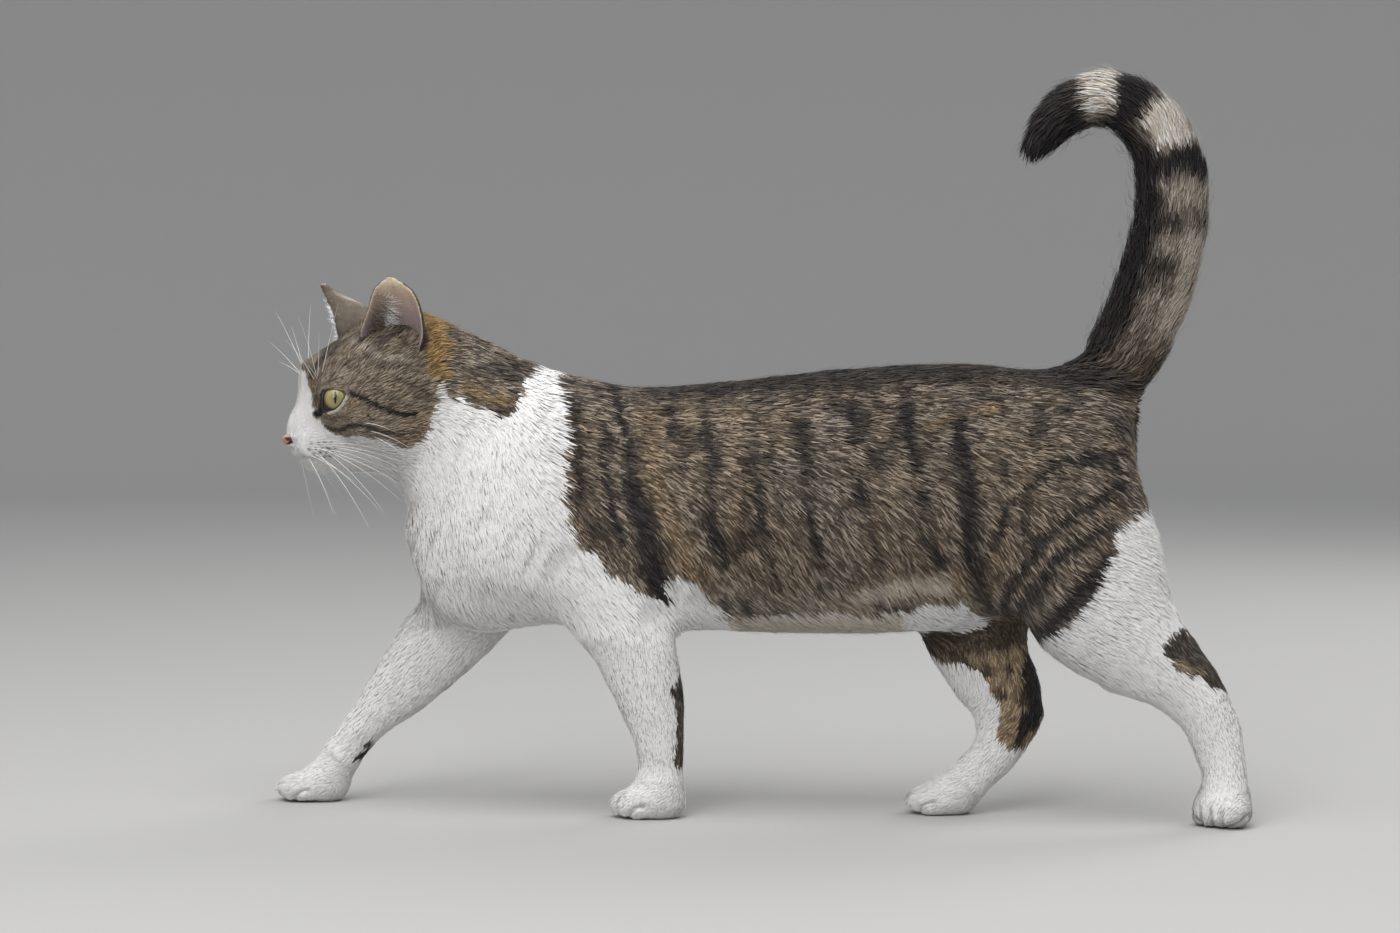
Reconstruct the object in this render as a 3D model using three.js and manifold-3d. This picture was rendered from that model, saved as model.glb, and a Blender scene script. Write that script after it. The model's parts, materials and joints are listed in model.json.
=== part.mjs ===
// A short-haired house cat at life size, walking with its tail carried up and its head turned a
// little to its left. Millimetres, +Z up, the head towards -X and the cat's left side towards -Y.
// The solids give the outline of the coat, out to the tips of the hair. The flesh is one smooth
// form, a distance field that swept and round masses share, and thin flat cuts part it into the
// head, neck, trunk, tail and the lengths of each leg. Ears, eyes and nose are pieces of their own.
import * as THREE from "three";
import { mergeVertices } from "three/addons/utils/BufferGeometryUtils.js";
import Module from "manifold-3d";

const wasm = await Module();
wasm.setup();

// ---- driving dimensions -----------------------------------------------------------------------
const GAP = 0.35; // between neighbouring pieces, so that they meet without overlap
const FAR = 700; // longer than the cat, for the blocks that cut it

const HEAD_TURN = THREE.MathUtils.degToRad(25); // about the neck, towards the cat's left
const HEAD_CENTRE = new THREE.Vector3(-220, -8, 252.3); // middle of the braincase
const EYE_RADIUS = 10.8;
const EYE_SPACING = 18.6; // eye centre from the middle of the face

// Where each paw stands: the middle of its sole, how far its toes point outward from straight
// ahead, and its size.
const STANCE = {
  frontLeft: { x: -57, y: -26, turn: 6, size: 1 },
  frontRight: { x: -268, y: 27, turn: 2, size: 1 },
  hindLeft: { x: 276, y: -31, turn: 62, size: 0.93 },
  hindRight: { x: 113, y: 8, turn: 4, size: 0.95 },
};

// ---- distance fields --------------------------------------------------------------------------
// A field is a function of a point that is negative inside a form and grows by about 1 per mm.

const CLOSE = 30; // further from a mass than this, a rough distance to it is enough

function smoothMin(a, b, k) {
  const h = Math.max(k - Math.abs(a - b), 0) / k;
  return Math.min(a, b) - (h * h * k) / 4;
}

// Joins fields, rounding the valleys between them over about k mm.
const blend = (k, fields) => (x, y, z) =>
  fields.reduce((d, field) => smoothMin(d, field(x, y, z), k), FAR);

// First-order distance to an ellipsoid, from the offsets to its centre and its half sizes.
function ellipsoidDistance(x, y, z, a, b, c) {
  const scaled = Math.hypot(x / a, y / b, z / c);
  const slope = Math.hypot(x / (a * a), y / (b * b), z / (c * c));
  return slope < 1e-9 ? -Math.min(a, b, c) : (scaled * (scaled - 1)) / slope;
}

const ellipsoid = ([cx, cy, cz], [a, b, c]) => (x, y, z) =>
  ellipsoidDistance(x - cx, y - cy, z - cz, a, b, c);

// A mass swept along a smooth path. Each station is [x, y, z, depth, width]: a point of the
// path, then the half depth in the path's own upright plane and the half width across it.
function sweep(stations, stepsPerSpan = 4) {
  const path = new THREE.CatmullRomCurve3(
    stations.map(([x, y, z]) => new THREE.Vector3(x, y, z)),
  );
  const sizes = new THREE.CatmullRomCurve3(
    stations.map(([, , , depth, width]) => new THREE.Vector3(depth, width, 0)),
    false,
    "catmullrom",
    0.5,
  );
  const count = (stations.length - 1) * stepsPerSpan;
  const links = Array.from({ length: count }, (_, i) => {
    const start = path.getPoint(i / count);
    const along = path.getPoint((i + 1) / count).sub(start);
    const length = along.length();
    along.normalize();
    const across = new THREE.Vector3(0, 1, 0);
    across.addScaledVector(along, -across.dot(along)).normalize();
    const upright = new THREE.Vector3().crossVectors(along, across);
    const from = sizes.getPoint(i / count);
    const to = sizes.getPoint((i + 1) / count);
    return { start, along, length, across, upright, from, to };
  });
  const reach = new THREE.Box3();
  for (const [x, y, z, depth, width] of stations) {
    const ball = new THREE.Sphere(new THREE.Vector3(x, y, z), Math.max(depth, width) * 1.1);
    reach.union(ball.getBoundingBox(new THREE.Box3()));
  }
  const offset = new THREE.Vector3();
  return (x, y, z) => {
    const away = reach.distanceToPoint(offset.set(x, y, z));
    if (away > CLOSE) return away;
    let nearest = FAR;
    for (const link of links) {
      offset.set(x, y, z).sub(link.start);
      const run = offset.dot(link.along);
      const t = THREE.MathUtils.clamp(run / link.length, 0, 1);
      const depth = THREE.MathUtils.lerp(link.from.x, link.to.x, t);
      const width = THREE.MathUtils.lerp(link.from.y, link.to.y, t);
      const d = ellipsoidDistance(
        run - t * link.length,
        offset.dot(link.across),
        offset.dot(link.upright),
        Math.min(depth, width),
        width,
        depth,
      );
      nearest = Math.min(nearest, d);
    }
    return nearest;
  };
}

// ---- the trunk, neck and tail -----------------------------------------------------------------

// Rows of [x, height of the back, height of the belly, half width].
const trunkProfile = [
  [-172, 203, 124, 31],
  [-148, 236, 112, 43],
  [-118, 250, 110, 50],
  [-78, 251.5, 108, 54],
  [-36, 253, 107, 57],
  [14, 258, 106, 61],
  [62, 262.5, 106, 61],
  [104, 265.5, 109, 58],
  [146, 266, 122, 53],
  [174, 262, 148, 47],
  [189, 249, 178, 38],
  [196, 234, 196, 27],
];
const trunk = sweep(
  trunkProfile.map(([x, back, belly, width]) => [
    x, 0, (back + belly) / 2, (back - belly) / 2, width,
  ]),
);

// The breast in front of the shoulders, a full white bib.
const breast = sweep([
  [-156, -2, 200, 30, 32],
  [-160, -1, 168, 31, 35],
  [-163, 0, 138, 30, 34],
]);

// The shoulder blade and upper arm under the coat, on each side.
const shoulder = (side) =>
  sweep([
    [-104, 27 * side, 223, 24, 19],
    [-124, 31 * side, 186, 31, 22],
    [-132, 32 * side, 153, 29, 21],
  ]);

const neck = sweep([
  [-112, 0, 206.5, 45, 41],
  [-146, -1, 222.5, 45.5, 40],
  [-175, -4, 239, 45, 38],
  [-202, -8, 252, 39, 34],
]);
const throat = ellipsoid([-200, -6, 219], [24, 26, 24]);

const tail = sweep([
  [190, 0, 236, 20, 22],
  [206, 0, 252, 21.5, 20],
  [218, 0, 269, 22, 19],
  [228, 0, 289, 22, 19],
  [237, 0, 311, 22, 19],
  [243, 0, 335, 21.5, 19],
  [246, 0, 357, 20.8, 18.5],
  [245, 0, 376, 20, 18],
  [240.5, 0, 393, 19, 17.5],
  [231, 0, 407, 17.8, 17],
  [219, 0, 416, 16.4, 16],
  [205, 0, 419, 15.6, 15.5],
  [190, 0, 415.5, 14.6, 14.5],
  [178.5, 0, 407, 13, 13],
  [170, 0, 396, 10.6, 10.5],
  [166.5, 0, 387, 7, 7],
]);

// ---- the legs ---------------------------------------------------------------------------------

// A paw in its own frame: four toes round a pad, the soles a little below the floor.
function paw({ x, y, turn, size }, side) {
  const heading = THREE.MathUtils.degToRad(turn) * side;
  const [c, s] = [Math.cos(heading), Math.sin(heading)];
  const toes = [
    [12, 5, 8.2, 11, 6.2, 9.2],
    [6.5, 11.6, 7.6, 10.2, 5.8, 8.4],
  ].flatMap(([forward, out, up, long, wide, high]) =>
    [-1, 1].map((hand) => ellipsoid([forward, out * hand, up], [long, wide, high])),
  );
  const pad = ellipsoid([-5, 0, 9], [15, 13, 10.2]);
  const form = blend(4, [blend(2, toes), pad]);
  return (px, py, pz) => {
    const [dx, dy] = [(x - px) / size, (y - py) / size];
    return size * form(dx * c + dy * s, dy * c - dx * s, pz / size);
  };
}

const legs = {
  frontLeft: [
    sweep([
      [-96, -33, 150, 31, 19],
      [-80, -33, 126, 29, 19],
      [-67, -31, 107, 26.5, 18.5],
      [-60, -29.5, 85, 23.5, 17],
      [-55, -28, 66, 19.6, 15],
      [-52, -27, 48, 16.2, 13.5],
      [-50, -26, 32, 14.2, 13],
      [-51, -26, 14, 13, 14],
    ]),
    paw(STANCE.frontLeft, -1),
  ],
  frontRight: [
    sweep([
      [-150, 33, 148, 30, 19],
      [-168, 33, 124, 30, 19],
      [-184, 32, 105, 28, 18.5],
      [-200, 31, 86, 24, 17.5],
      [-214, 30, 70, 19.8, 16],
      [-228, 29.5, 55.5, 15, 14],
      [-239.5, 28.5, 42, 12.5, 12.5],
      [-250, 28, 28, 12, 13],
      [-259, 27, 14, 11.5, 14],
    ]),
    paw(STANCE.frontRight, 1),
  ],
  hindLeft: [
    sweep([
      [182, -27, 220, 36, 25],
      [187, -31, 188, 43, 28],
      [193, -33, 157, 46, 27],
      [203, -33, 128, 43, 24],
      [225, -31, 104, 32, 20],
      [247, -29, 86, 22.5, 17],
      [264, -28, 67, 17.5, 14.5],
      [272, -27, 48, 15.5, 13.5],
      [276, -27, 30, 14, 13.5],
      [276, -28, 15, 13, 13.5],
    ]),
    paw(STANCE.hindLeft, -1),
  ],
  hindRight: [
    sweep([
      [178, 27, 220, 36, 25],
      [164, 30, 188, 41, 28],
      [146, 31, 155, 41, 27],
      [130, 29, 124, 37, 24],
      [134, 26, 98, 29.5, 20],
      [145, 22, 77, 25, 17],
      [152, 18, 60, 21, 15],
      [149, 15, 45, 16.8, 14],
      [140, 12, 31, 14, 13.5],
      [128, 9, 20, 12.5, 13.5],
      [118, 8, 13, 11.5, 14],
    ]),
    paw(STANCE.hindRight, 1),
  ],
};

// ---- the head ---------------------------------------------------------------------------------
// The head's own frame: u forward from the middle of the braincase, v to the cat's left, w up.

const headFrame = new THREE.Matrix4().makeBasis(
  new THREE.Vector3(-Math.cos(HEAD_TURN), -Math.sin(HEAD_TURN), 0),
  new THREE.Vector3(Math.sin(HEAD_TURN), -Math.cos(HEAD_TURN), 0),
  new THREE.Vector3(0, 0, 1),
);
headFrame.setPosition(HEAD_CENTRE);
const toHead = headFrame.clone().invert();

const inHead = (field) => {
  const local = new THREE.Vector3();
  return (x, y, z) => {
    local.set(x, y, z).applyMatrix4(toHead);
    return field(local.x, local.y, local.z);
  };
};

const bothSides = ([u, v, w], sizes) =>
  [-1, 1].map((hand) => ellipsoid([u, v * hand, w], sizes));

const eyeCentre = (hand) => new THREE.Vector3(30.2, EYE_SPACING * hand, -8.8);
const EYE_OUTWARD = THREE.MathUtils.degToRad(22); // which way the eye's axis looks

const skull = blend(9, [
  ellipsoid([-6, 0, 6], [34, 33, 32]), // braincase
  ellipsoid([-17, 0, 11], [26, 25, 29]), // crown, behind the ears
  ellipsoid([16, 0, 5.5], [26, 25, 20]), // forehead
  ellipsoid([28, 0, -22], [21, 18, 17]), // upper jaw
  ...bothSides([6, 21, -15], [26, 18, 24]), // cheeks
  ...bothSides([28, 15, 1.5], [12, 10, 7.5]), // brows, over the eyes
]);
const noseBridge = sweep([
  [39, 0, 6, 9.4, 9],
  [40.5, 0, -3, 8.9, 8],
  [42.5, 0, -12, 8.2, 7.6],
  [47, 0, -20.5, 7.6, 7.4],
  [51, 0, -27.6, 6.8, 7],
]);
const muzzle = blend(4, [
  ...bothSides([39.5, 7.8, -35.8], [12.6, 10.2, 9.6]), // whisker pads
  ellipsoid([37, 0, -44.4], [11, 9.5, 8.2]), // chin
  ellipsoid([16, 0, -37], [24, 18, 14.5]), // jaw
]);
const lids = blend(
  2,
  [-1, 1].map((hand) => {
    const { x, y, z } = eyeCentre(hand);
    return ellipsoid([x, y, z], [12.2, 12.2, 11.6]);
  }),
);
const head = inHead(blend(4, [blend(7, [skull, noseBridge, muzzle]), lids]));

// ---- the whole flesh ---------------------------------------------------------------------------

const flesh = blend(9, [
  blend(22, [
    blend(26, [trunk, breast, shoulder(-1), shoulder(1)]),
    blend(14, [neck, throat, head]),
    tail,
  ]),
  blend(12, legs.frontLeft),
  blend(12, legs.frontRight),
  blend(12, legs.hindLeft),
  blend(12, legs.hindRight),
]);

// ---- from field to solid ----------------------------------------------------------------------

// Moves a point along the field's slope until it lies on the surface.
function settle(field, point, reach) {
  const e = 0.3;
  for (let pass = 0; pass < 4; pass += 1) {
    const { x, y, z } = point;
    const d = field(x, y, z);
    if (Math.abs(d) > reach) return;
    const slope = new THREE.Vector3(
      field(x + e, y, z) - field(x - e, y, z),
      field(x, y + e, z) - field(x, y - e, z),
      field(x, y, z + e) - field(x, y, z - e),
    ).divideScalar(2 * e);
    point.addScaledVector(slope, -d / Math.max(slope.lengthSq(), 0.25));
  }
}

// The surface of a field inside a box, as a closed geometry of even facets of about one step.
// Each cell of the grid that the surface crosses holds one vertex, and the box's border counts
// as outside, so that the surface closes there.
function surfaceOf(field, [low, high], step) {
  const size = low.map((from, axis) => Math.ceil((high[axis] - from) / step) + 1);
  const strides = [1, size[0], size[0] * size[1]];
  const at = (i, j, k) => i + j * strides[1] + k * strides[2];
  const place = (axis, i) => low[axis] + i * step;
  const values = new Float64Array(size[0] * size[1] * size[2]);
  const onBorder = (i, axis) => i === 0 || i === size[axis] - 1;
  for (let k = 0; k < size[2]; k += 1)
    for (let j = 0; j < size[1]; j += 1)
      for (let i = 0; i < size[0]; i += 1)
        values[at(i, j, k)] =
          onBorder(i, 0) || onBorder(j, 1) || onBorder(k, 2)
            ? step
            : field(place(0, i), place(1, j), place(2, k));

  const positions = [];
  const vertexOf = new Map();
  const cell = new THREE.Vector3();
  for (let k = 0; k < size[2] - 1; k += 1)
    for (let j = 0; j < size[1] - 1; j += 1)
      for (let i = 0; i < size[0] - 1; i += 1) {
        const crossings = edgeCrossings(values, at(i, j, k), strides);
        if (!crossings.length) continue;
        cell.set(0, 0, 0);
        crossings.forEach((crossing) => cell.add(crossing));
        cell.divideScalar(crossings.length).multiplyScalar(step);
        cell.add(new THREE.Vector3(place(0, i), place(1, j), place(2, k)));
        settle(field, cell, step);
        vertexOf.set(at(i, j, k), positions.length / 3);
        positions.push(cell.x, cell.y, cell.z);
      }

  const index = [];
  values.forEach((value, node) => {
    for (let axis = 0; axis < 3; axis += 1) {
      const next = values[node + strides[axis]];
      if (next === undefined || value < 0 === next < 0) continue;
      const [b, c] = [strides[(axis + 1) % 3], strides[(axis + 2) % 3]];
      const ring = [node - b - c, node - c, node, node - b].map((n) => vertexOf.get(n));
      if (ring.includes(undefined)) continue;
      const [p, q, r, s] = value < 0 ? ring : ring.reverse();
      index.push(p, q, r, p, r, s);
    }
  });
  const geometry = new THREE.BufferGeometry();
  geometry.setAttribute("position", new THREE.Float32BufferAttribute(positions, 3));
  geometry.setIndex(index);
  return geometry;
}

// Where the surface crosses the 12 edges of a grid cell, in shares of the cell's size.
function edgeCrossings(values, corner, strides) {
  const found = [];
  for (let axis = 0; axis < 3; axis += 1) {
    const [b, c] = [(axis + 1) % 3, (axis + 2) % 3];
    for (const [onB, onC] of [[0, 0], [1, 0], [0, 1], [1, 1]]) {
      const start = corner + onB * strides[b] + onC * strides[c];
      const [from, to] = [values[start], values[start + strides[axis]]];
      if (from < 0 === to < 0) continue;
      const share = [0, 0, 0];
      share[axis] = from / (from - to);
      share[b] = onB;
      share[c] = onC;
      found.push(new THREE.Vector3(...share));
    }
  }
  return found;
}

function solidOf(geometry) {
  const plain = geometry.clone();
  plain.deleteAttribute("normal");
  plain.deleteAttribute("uv");
  const merged = mergeVertices(plain, 1e-4);
  return new wasm.Manifold(
    new wasm.Mesh({
      numProp: 3,
      vertProperties: new Float32Array(merged.attributes.position.array),
      triVerts: new Uint32Array(merged.index.array),
    }),
  );
}

function geometryOf(solid) {
  const { vertProperties, triVerts } = solid.getMesh();
  const geometry = new THREE.BufferGeometry();
  geometry.setAttribute("position", new THREE.BufferAttribute(vertProperties, 3));
  geometry.setIndex(new THREE.BufferAttribute(triVerts, 1));
  return geometry.toNonIndexed();
}

const largest = (solid) =>
  solid.decompose().reduce((a, b) => (b.volume() > a.volume() ? b : a));

// ---- the cuts ---------------------------------------------------------------------------------
// A cut is a plane: a point on it, and the direction that points at the piece beyond it.

const cut = (point, direction) => ({
  point: new THREE.Vector3(...point),
  normal: new THREE.Vector3(...direction).normalize(),
});
const cuts = {
  floor: cut([0, 0, -GAP / 2], [0, 0, 1]),
  head: cut([-188, -6, 252], [-0.9, -0.2, 0.3]),
  neck: cut([-152, 0, 226], [-0.83, -0.06, 0.5]),
  waist: cut([-14, 0, 180], [1, 0, 0]),
  loin: cut([86, 0, 180], [1, 0, 0]),
  tailRoot: cut([211, 0, 258], [0.5, 0, 0.86]),
  tailMiddle: cut([243, 0, 330], [0.2, 0, 0.98]),
  tailEnd: cut([232, 0, 411], [-0.72, 0, 0.69]),
  haunchLeft: cut([183, 0, 152], [0.675, 0, -0.74]),
  haunchRight: cut([163, 0, 152], [0.55, 0, -0.835]),
  shinLeft: cut([221, 0, 109], [0.84, 0, -0.54]),
  hockLeft: cut([263, 0, 76], [0.45, 0, -0.89]),
  toesLeft: cut([279, 0, 24], [0, 0, -1]),
  shinRight: cut([134, 0, 108], [0.3, 0, -0.95]),
  hockRight: cut([153, 0, 70], [-0.25, 0, -0.97]),
  toesRight: cut([128, 0, 23], [-0.62, 0, -0.78]),
  elbow: cut([0, 0, 113], [0, 0, -1]),
  wristLeft: cut([-56, 0, 27], [-0.1, 0, -1]),
  wristRight: cut([-247, 0, 30], [-0.6, 0, -0.8]),
  mouth: cut([40, 0, -42.4], [-0.14, 0, -0.99]),
  jawJoint: cut([21, 0, -44], [1, 0, -0.35]),
};

// Keeps what lies beyond a plane, or before it, leaving half the gap.
const beyond = (solid, { point, normal }) =>
  solid.trimByPlane(normal.toArray(), point.dot(normal) + GAP / 2);
const before = (solid, { point, normal }) =>
  solid.trimByPlane(normal.clone().negate().toArray(), -point.dot(normal) + GAP / 2);

// A block that fills the room beyond a plane, between two distances along X and on one side of
// the cat, or on both when side is 0. It is drawn in or let out on all sides by a margin.
function room({ point, normal }, side, margin, fromX = -FAR, toX = FAR) {
  const block = new THREE.BoxGeometry(FAR, FAR, FAR);
  block.translate(0, 0, FAR / 2 - margin);
  const turned = new THREE.Quaternion().setFromUnitVectors(
    new THREE.Vector3(0, 0, 1),
    normal,
  );
  block.applyQuaternion(turned);
  block.translate(point.x, point.y, point.z);
  const lane = new THREE.BoxGeometry(toX - fromX + 2 * margin, FAR, 4 * FAR);
  const across = side ? side * (FAR / 2 - margin) : 0;
  lane.translate((fromX + toX) / 2, across, 0);
  return solidOf(block).intersect(solidOf(lane));
}

const legRooms = [
  [cuts.elbow, -1, -125, -30],
  [cuts.elbow, 1, -310, -137],
  [cuts.haunchLeft, -1, -FAR, FAR],
  [cuts.haunchRight, 1, -FAR, FAR],
];

function fleshPiece(box, step, steps) {
  const whole = solidOf(surfaceOf(flesh, box, step));
  return largest(steps.reduce((solid, keep) => keep(solid), whole));
}

const withoutLegs = (solid) =>
  legRooms.reduce(
    (left, [plane, side, from, to]) =>
      left.subtract(room(plane, side, GAP / 2, from, to)),
    solid,
  );
const legOnly = (number) => (solid) => {
  const [plane, side, from, to] = legRooms[number];
  return solid.intersect(room(plane, side, -GAP / 2, from, to));
};
const keepBeyond = (name) => (solid) => beyond(solid, cuts[name]);
const keepBefore = (name) => (solid) => before(solid, cuts[name]);

const TRUNK_STEP = 21;
const TAIL_STEP = 13;
const THIGH_STEP = 15;
const LEG_STEP = 11.5;
const PAW_STEP = 7;
const HEAD_STEP = 8.3;
const trunkBox = [[-250, -90, 70], [275, 90, 300]];

const fleshPieces = {
  neck: fleshPiece([[-275, -80, 90], [-60, 80, 330]], TRUNK_STEP, [
    keepBefore("head"),
    keepBeyond("neck"),
  ]),
  chest: fleshPiece(trunkBox, TRUNK_STEP, [
    keepBefore("neck"),
    keepBefore("waist"),
    withoutLegs,
  ]),
  belly: fleshPiece(trunkBox, TRUNK_STEP, [
    keepBeyond("waist"),
    keepBefore("loin"),
    withoutLegs,
  ]),
  rump: fleshPiece([[60, -90, 70], [290, 90, 330]], TRUNK_STEP, [
    keepBeyond("loin"),
    keepBefore("tailRoot"),
    withoutLegs,
  ]),
  tail_root: fleshPiece([[160, -45, 225], [285, 45, 365]], TAIL_STEP, [
    keepBeyond("tailRoot"),
    keepBefore("tailMiddle"),
  ]),
  tail_middle: fleshPiece([[120, -45, 300], [285, 45, 455]], TAIL_STEP, [
    keepBeyond("tailMiddle"),
    keepBefore("tailEnd"),
  ]),
  tail_end: fleshPiece([[130, -45, 350], [265, 45, 455]], TAIL_STEP * 0.8, [
    keepBeyond("tailEnd"),
  ]),
  front_left_foreleg: fleshPiece([[-128, -62, 5], [-12, 12, 136]], LEG_STEP, [
    legOnly(0),
    keepBefore("wristLeft"),
  ]),
  front_left_paw: fleshPiece([[-100, -56, -9], [-25, 6, 42]], PAW_STEP, [
    keepBeyond("floor"),
    keepBeyond("wristLeft"),
  ]),
  front_right_foreleg: fleshPiece([[-278, -12, 5], [-104, 64, 136]], LEG_STEP, [
    legOnly(1),
    keepBefore("wristRight"),
  ]),
  front_right_paw: fleshPiece([[-300, -5, -9], [-222, 58, 56]], PAW_STEP, [
    keepBeyond("floor"),
    keepBeyond("wristRight"),
  ]),
  hind_left_thigh: fleshPiece([[100, -90, 50], [290, 20, 260]], THIGH_STEP, [
    legOnly(2),
    keepBefore("shinLeft"),
  ]),
  hind_left_shin: fleshPiece([[175, -70, 35], [305, 8, 160]], LEG_STEP, [
    keepBeyond("shinLeft"),
    keepBefore("hockLeft"),
  ]),
  hind_left_foot: fleshPiece([[225, -60, 5], [315, 10, 112]], LEG_STEP, [
    keepBeyond("hockLeft"),
    keepBefore("toesLeft"),
  ]),
  hind_left_paw: fleshPiece([[240, -66, -9], [320, 14, 38]], PAW_STEP, [
    keepBeyond("floor"),
    keepBeyond("toesLeft"),
  ]),
  hind_right_thigh: fleshPiece([[70, -20, 60], [290, 90, 260]], THIGH_STEP, [
    legOnly(3),
    keepBefore("shinRight"),
  ]),
  hind_right_shin: fleshPiece([[85, -18, 35], [200, 66, 138]], LEG_STEP, [
    keepBeyond("shinRight"),
    keepBefore("hockRight"),
  ]),
  hind_right_foot: fleshPiece([[90, -18, -4], [200, 58, 104]], LEG_STEP, [
    keepBeyond("hockRight"),
    keepBefore("toesRight"),
  ]),
  hind_right_paw: fleshPiece([[72, -16, -9], [165, 46, 52]], PAW_STEP, [
    keepBeyond("floor"),
    keepBeyond("toesRight"),
  ]),
};

// ---- eyes, nose and ears, each in the head's frame --------------------------------------------

const EYE_SIDES = 14;
const eyeball = (hand, radius) => {
  const ball = new THREE.SphereGeometry(radius, EYE_SIDES, 8);
  ball.rotateX(Math.PI / 2);
  return ball.translate(...eyeCentre(hand).toArray());
};

// The opening between the lids: an almond, low at the nose and high outside, driven through
// the lids along the eye's axis.
function lidOpening(hand) {
  const [halfLength, halfHeight] = [13.2, 6.4];
  const almond = new THREE.Shape();
  almond.moveTo(-halfLength, 0);
  almond.quadraticCurveTo(0, 2.1 * halfHeight, halfLength, 0);
  almond.quadraticCurveTo(0, -2 * halfHeight, -halfLength, 0);
  const prism = new THREE.ExtrudeGeometry(almond, {
    depth: 20,
    bevelEnabled: false,
    curveSegments: 8,
  });
  // across the face, up, and out along the axis
  prism.rotateZ(THREE.MathUtils.degToRad(26));
  prism.applyMatrix4(
    new THREE.Matrix4().makeBasis(
      new THREE.Vector3(0, 1, 0),
      new THREE.Vector3(0, 0, 1),
      new THREE.Vector3(1, 0, 0),
    ),
  );
  prism.rotateZ(EYE_OUTWARD);
  const { x, y, z } = eyeCentre(1);
  prism.translate(x, y, z);
  const solid = solidOf(prism);
  return hand > 0 ? solid : solid.mirror([0, 1, 0]);
}

// The leather is wide between the nostrils and narrow where it runs down to the lip.
const noseLeather = (grown) => {
  const leather = new THREE.SphereGeometry(1, 12, 8);
  leather.rotateX(Math.PI / 2);
  leather.scale(4 + grown, 5 + grown, 3.8 + grown);
  const { position } = leather.attributes;
  for (let i = 0; i < position.count; i += 1)
    position.setY(i, position.getY(i) * (0.82 + 0.05 * position.getZ(i)));
  return leather.translate(53.6, 0, -32.6);
};

// An ear is a curled sheet of gristle. Three curves give its shape from the foot to the tip: the
// front edge, the rear edge, and the back of the cup between them.
const EAR_ROWS = 8;
const EAR_COLUMNS = 8;
const EAR_THICKNESS = 2.4;
const ears = {
  left: {
    front: [[16.5, 13, 24], [15, 20, 33], [13, 31, 46], [11.8, 39, 56.5], [6, 45, 62.4]],
    back: [[-9, 13, 22], [-10, 20, 35], [-5, 32, 46], [0, 41, 56], [4.4, 44.8, 61]],
    rear: [[-12.5, 34, 12], [-16, 43, 26], [-13.2, 50, 42], [-8, 51, 54.5], [2, 47.4, 62.4]],
  },
  right: {
    front: [[19.5, -13, 24], [20.5, -17, 33], [21, -29, 45], [23.5, -39, 54], [25.4, -45, 59.6]],
    back: [[-8, -14, 22], [-7, -20, 35], [-1, -30, 45], [11, -37, 51.5], [23, -43.6, 59.2]],
    rear: [[-12, -34, 12], [-11, -44, 26], [-3, -51, 40], [8, -51, 50], [22, -46.6, 59.8]],
  },
};

const smoothCurve = (points) =>
  new THREE.CatmullRomCurve3(points.map((point) => new THREE.Vector3(...point)));

// The outer and inner faces of the sheet share their rim, which runs up both edges, over the
// tip and along the foot.
function earGeometry(ear) {
  const [front, back, rear] = [ear.front, ear.back, ear.rear].map(smoothCurve);
  const positions = [];
  const faces = [0, 1].map((inner) =>
    Array.from({ length: EAR_ROWS + 1 }, (_, row) => {
      const rise = row / EAR_ROWS;
      const ends = [front.getPoint(rise), rear.getPoint(rise)];
      const bottom = back.getPoint(rise);
      const opening = ends[0].clone().add(ends[1]).divideScalar(2).sub(bottom).normalize();
      const thickness = inner * EAR_THICKNESS * (1 - 0.35 * rise);
      return Array.from({ length: EAR_COLUMNS + 1 }, (__, column) => {
        const across = (2 * column) / EAR_COLUMNS - 1;
        const cup = Math.sqrt(1 - Math.pow(Math.abs(across), 2.2));
        const point = ends[0].clone().lerp(ends[1], (across + 1) / 2);
        const sag = bottom.clone().sub(ends[0].clone().lerp(ends[1], 0.5));
        point.addScaledVector(sag, cup).addScaledVector(opening, thickness);
        positions.push(...point.toArray());
        return positions.length / 3 - 1;
      });
    }),
  );
  const index = [];
  const quad = (a, b, c, d) =>
    ear === ears.left ? index.push(c, b, a, d, c, a) : index.push(a, b, c, a, c, d);
  const [outer, inner] = faces;
  const [top, last] = [EAR_ROWS, EAR_COLUMNS];
  for (let row = 0; row < top; row += 1) {
    const r = row + 1;
    for (let column = 0; column < last; column += 1) {
      const c = column + 1;
      quad(outer[row][column], outer[row][c], outer[r][c], outer[r][column]);
      quad(inner[row][column], inner[r][column], inner[r][c], inner[row][c]);
    }
    quad(outer[row][0], outer[r][0], inner[r][0], inner[row][0]);
    quad(inner[row][last], inner[r][last], outer[r][last], outer[row][last]);
  }
  for (let column = 0; column < last; column += 1) {
    const c = column + 1;
    quad(outer[0][c], outer[0][column], inner[0][column], inner[0][c]);
    quad(outer[top][column], outer[top][c], inner[top][c], inner[top][column]);
  }
  const geometry = new THREE.BufferGeometry();
  geometry.setAttribute("position", new THREE.Float32BufferAttribute(positions, 3));
  geometry.setIndex(index);
  return geometry;
}

const earSolid = (ear) => solidOf(earGeometry(ear)).transform(headFrame.elements);

// ---- the head's pieces ------------------------------------------------------------------------

const placedInHead = (geometry) => solidOf(geometry.applyMatrix4(headFrame));
const headBox = [[-310, -95, 168], [-150, 75, 312]];
const wholeHead = fleshPiece(headBox, HEAD_STEP, [keepBeyond("head")]);

const hollowed = [-1, 1]
  .reduce(
    (solid, hand) =>
      solid
        .subtract(placedInHead(eyeball(hand, EYE_RADIUS + GAP)))
        .subtract(lidOpening(hand).transform(headFrame.elements)),
    wholeHead,
  )
  .subtract(placedInHead(noseLeather(GAP)));

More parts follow.
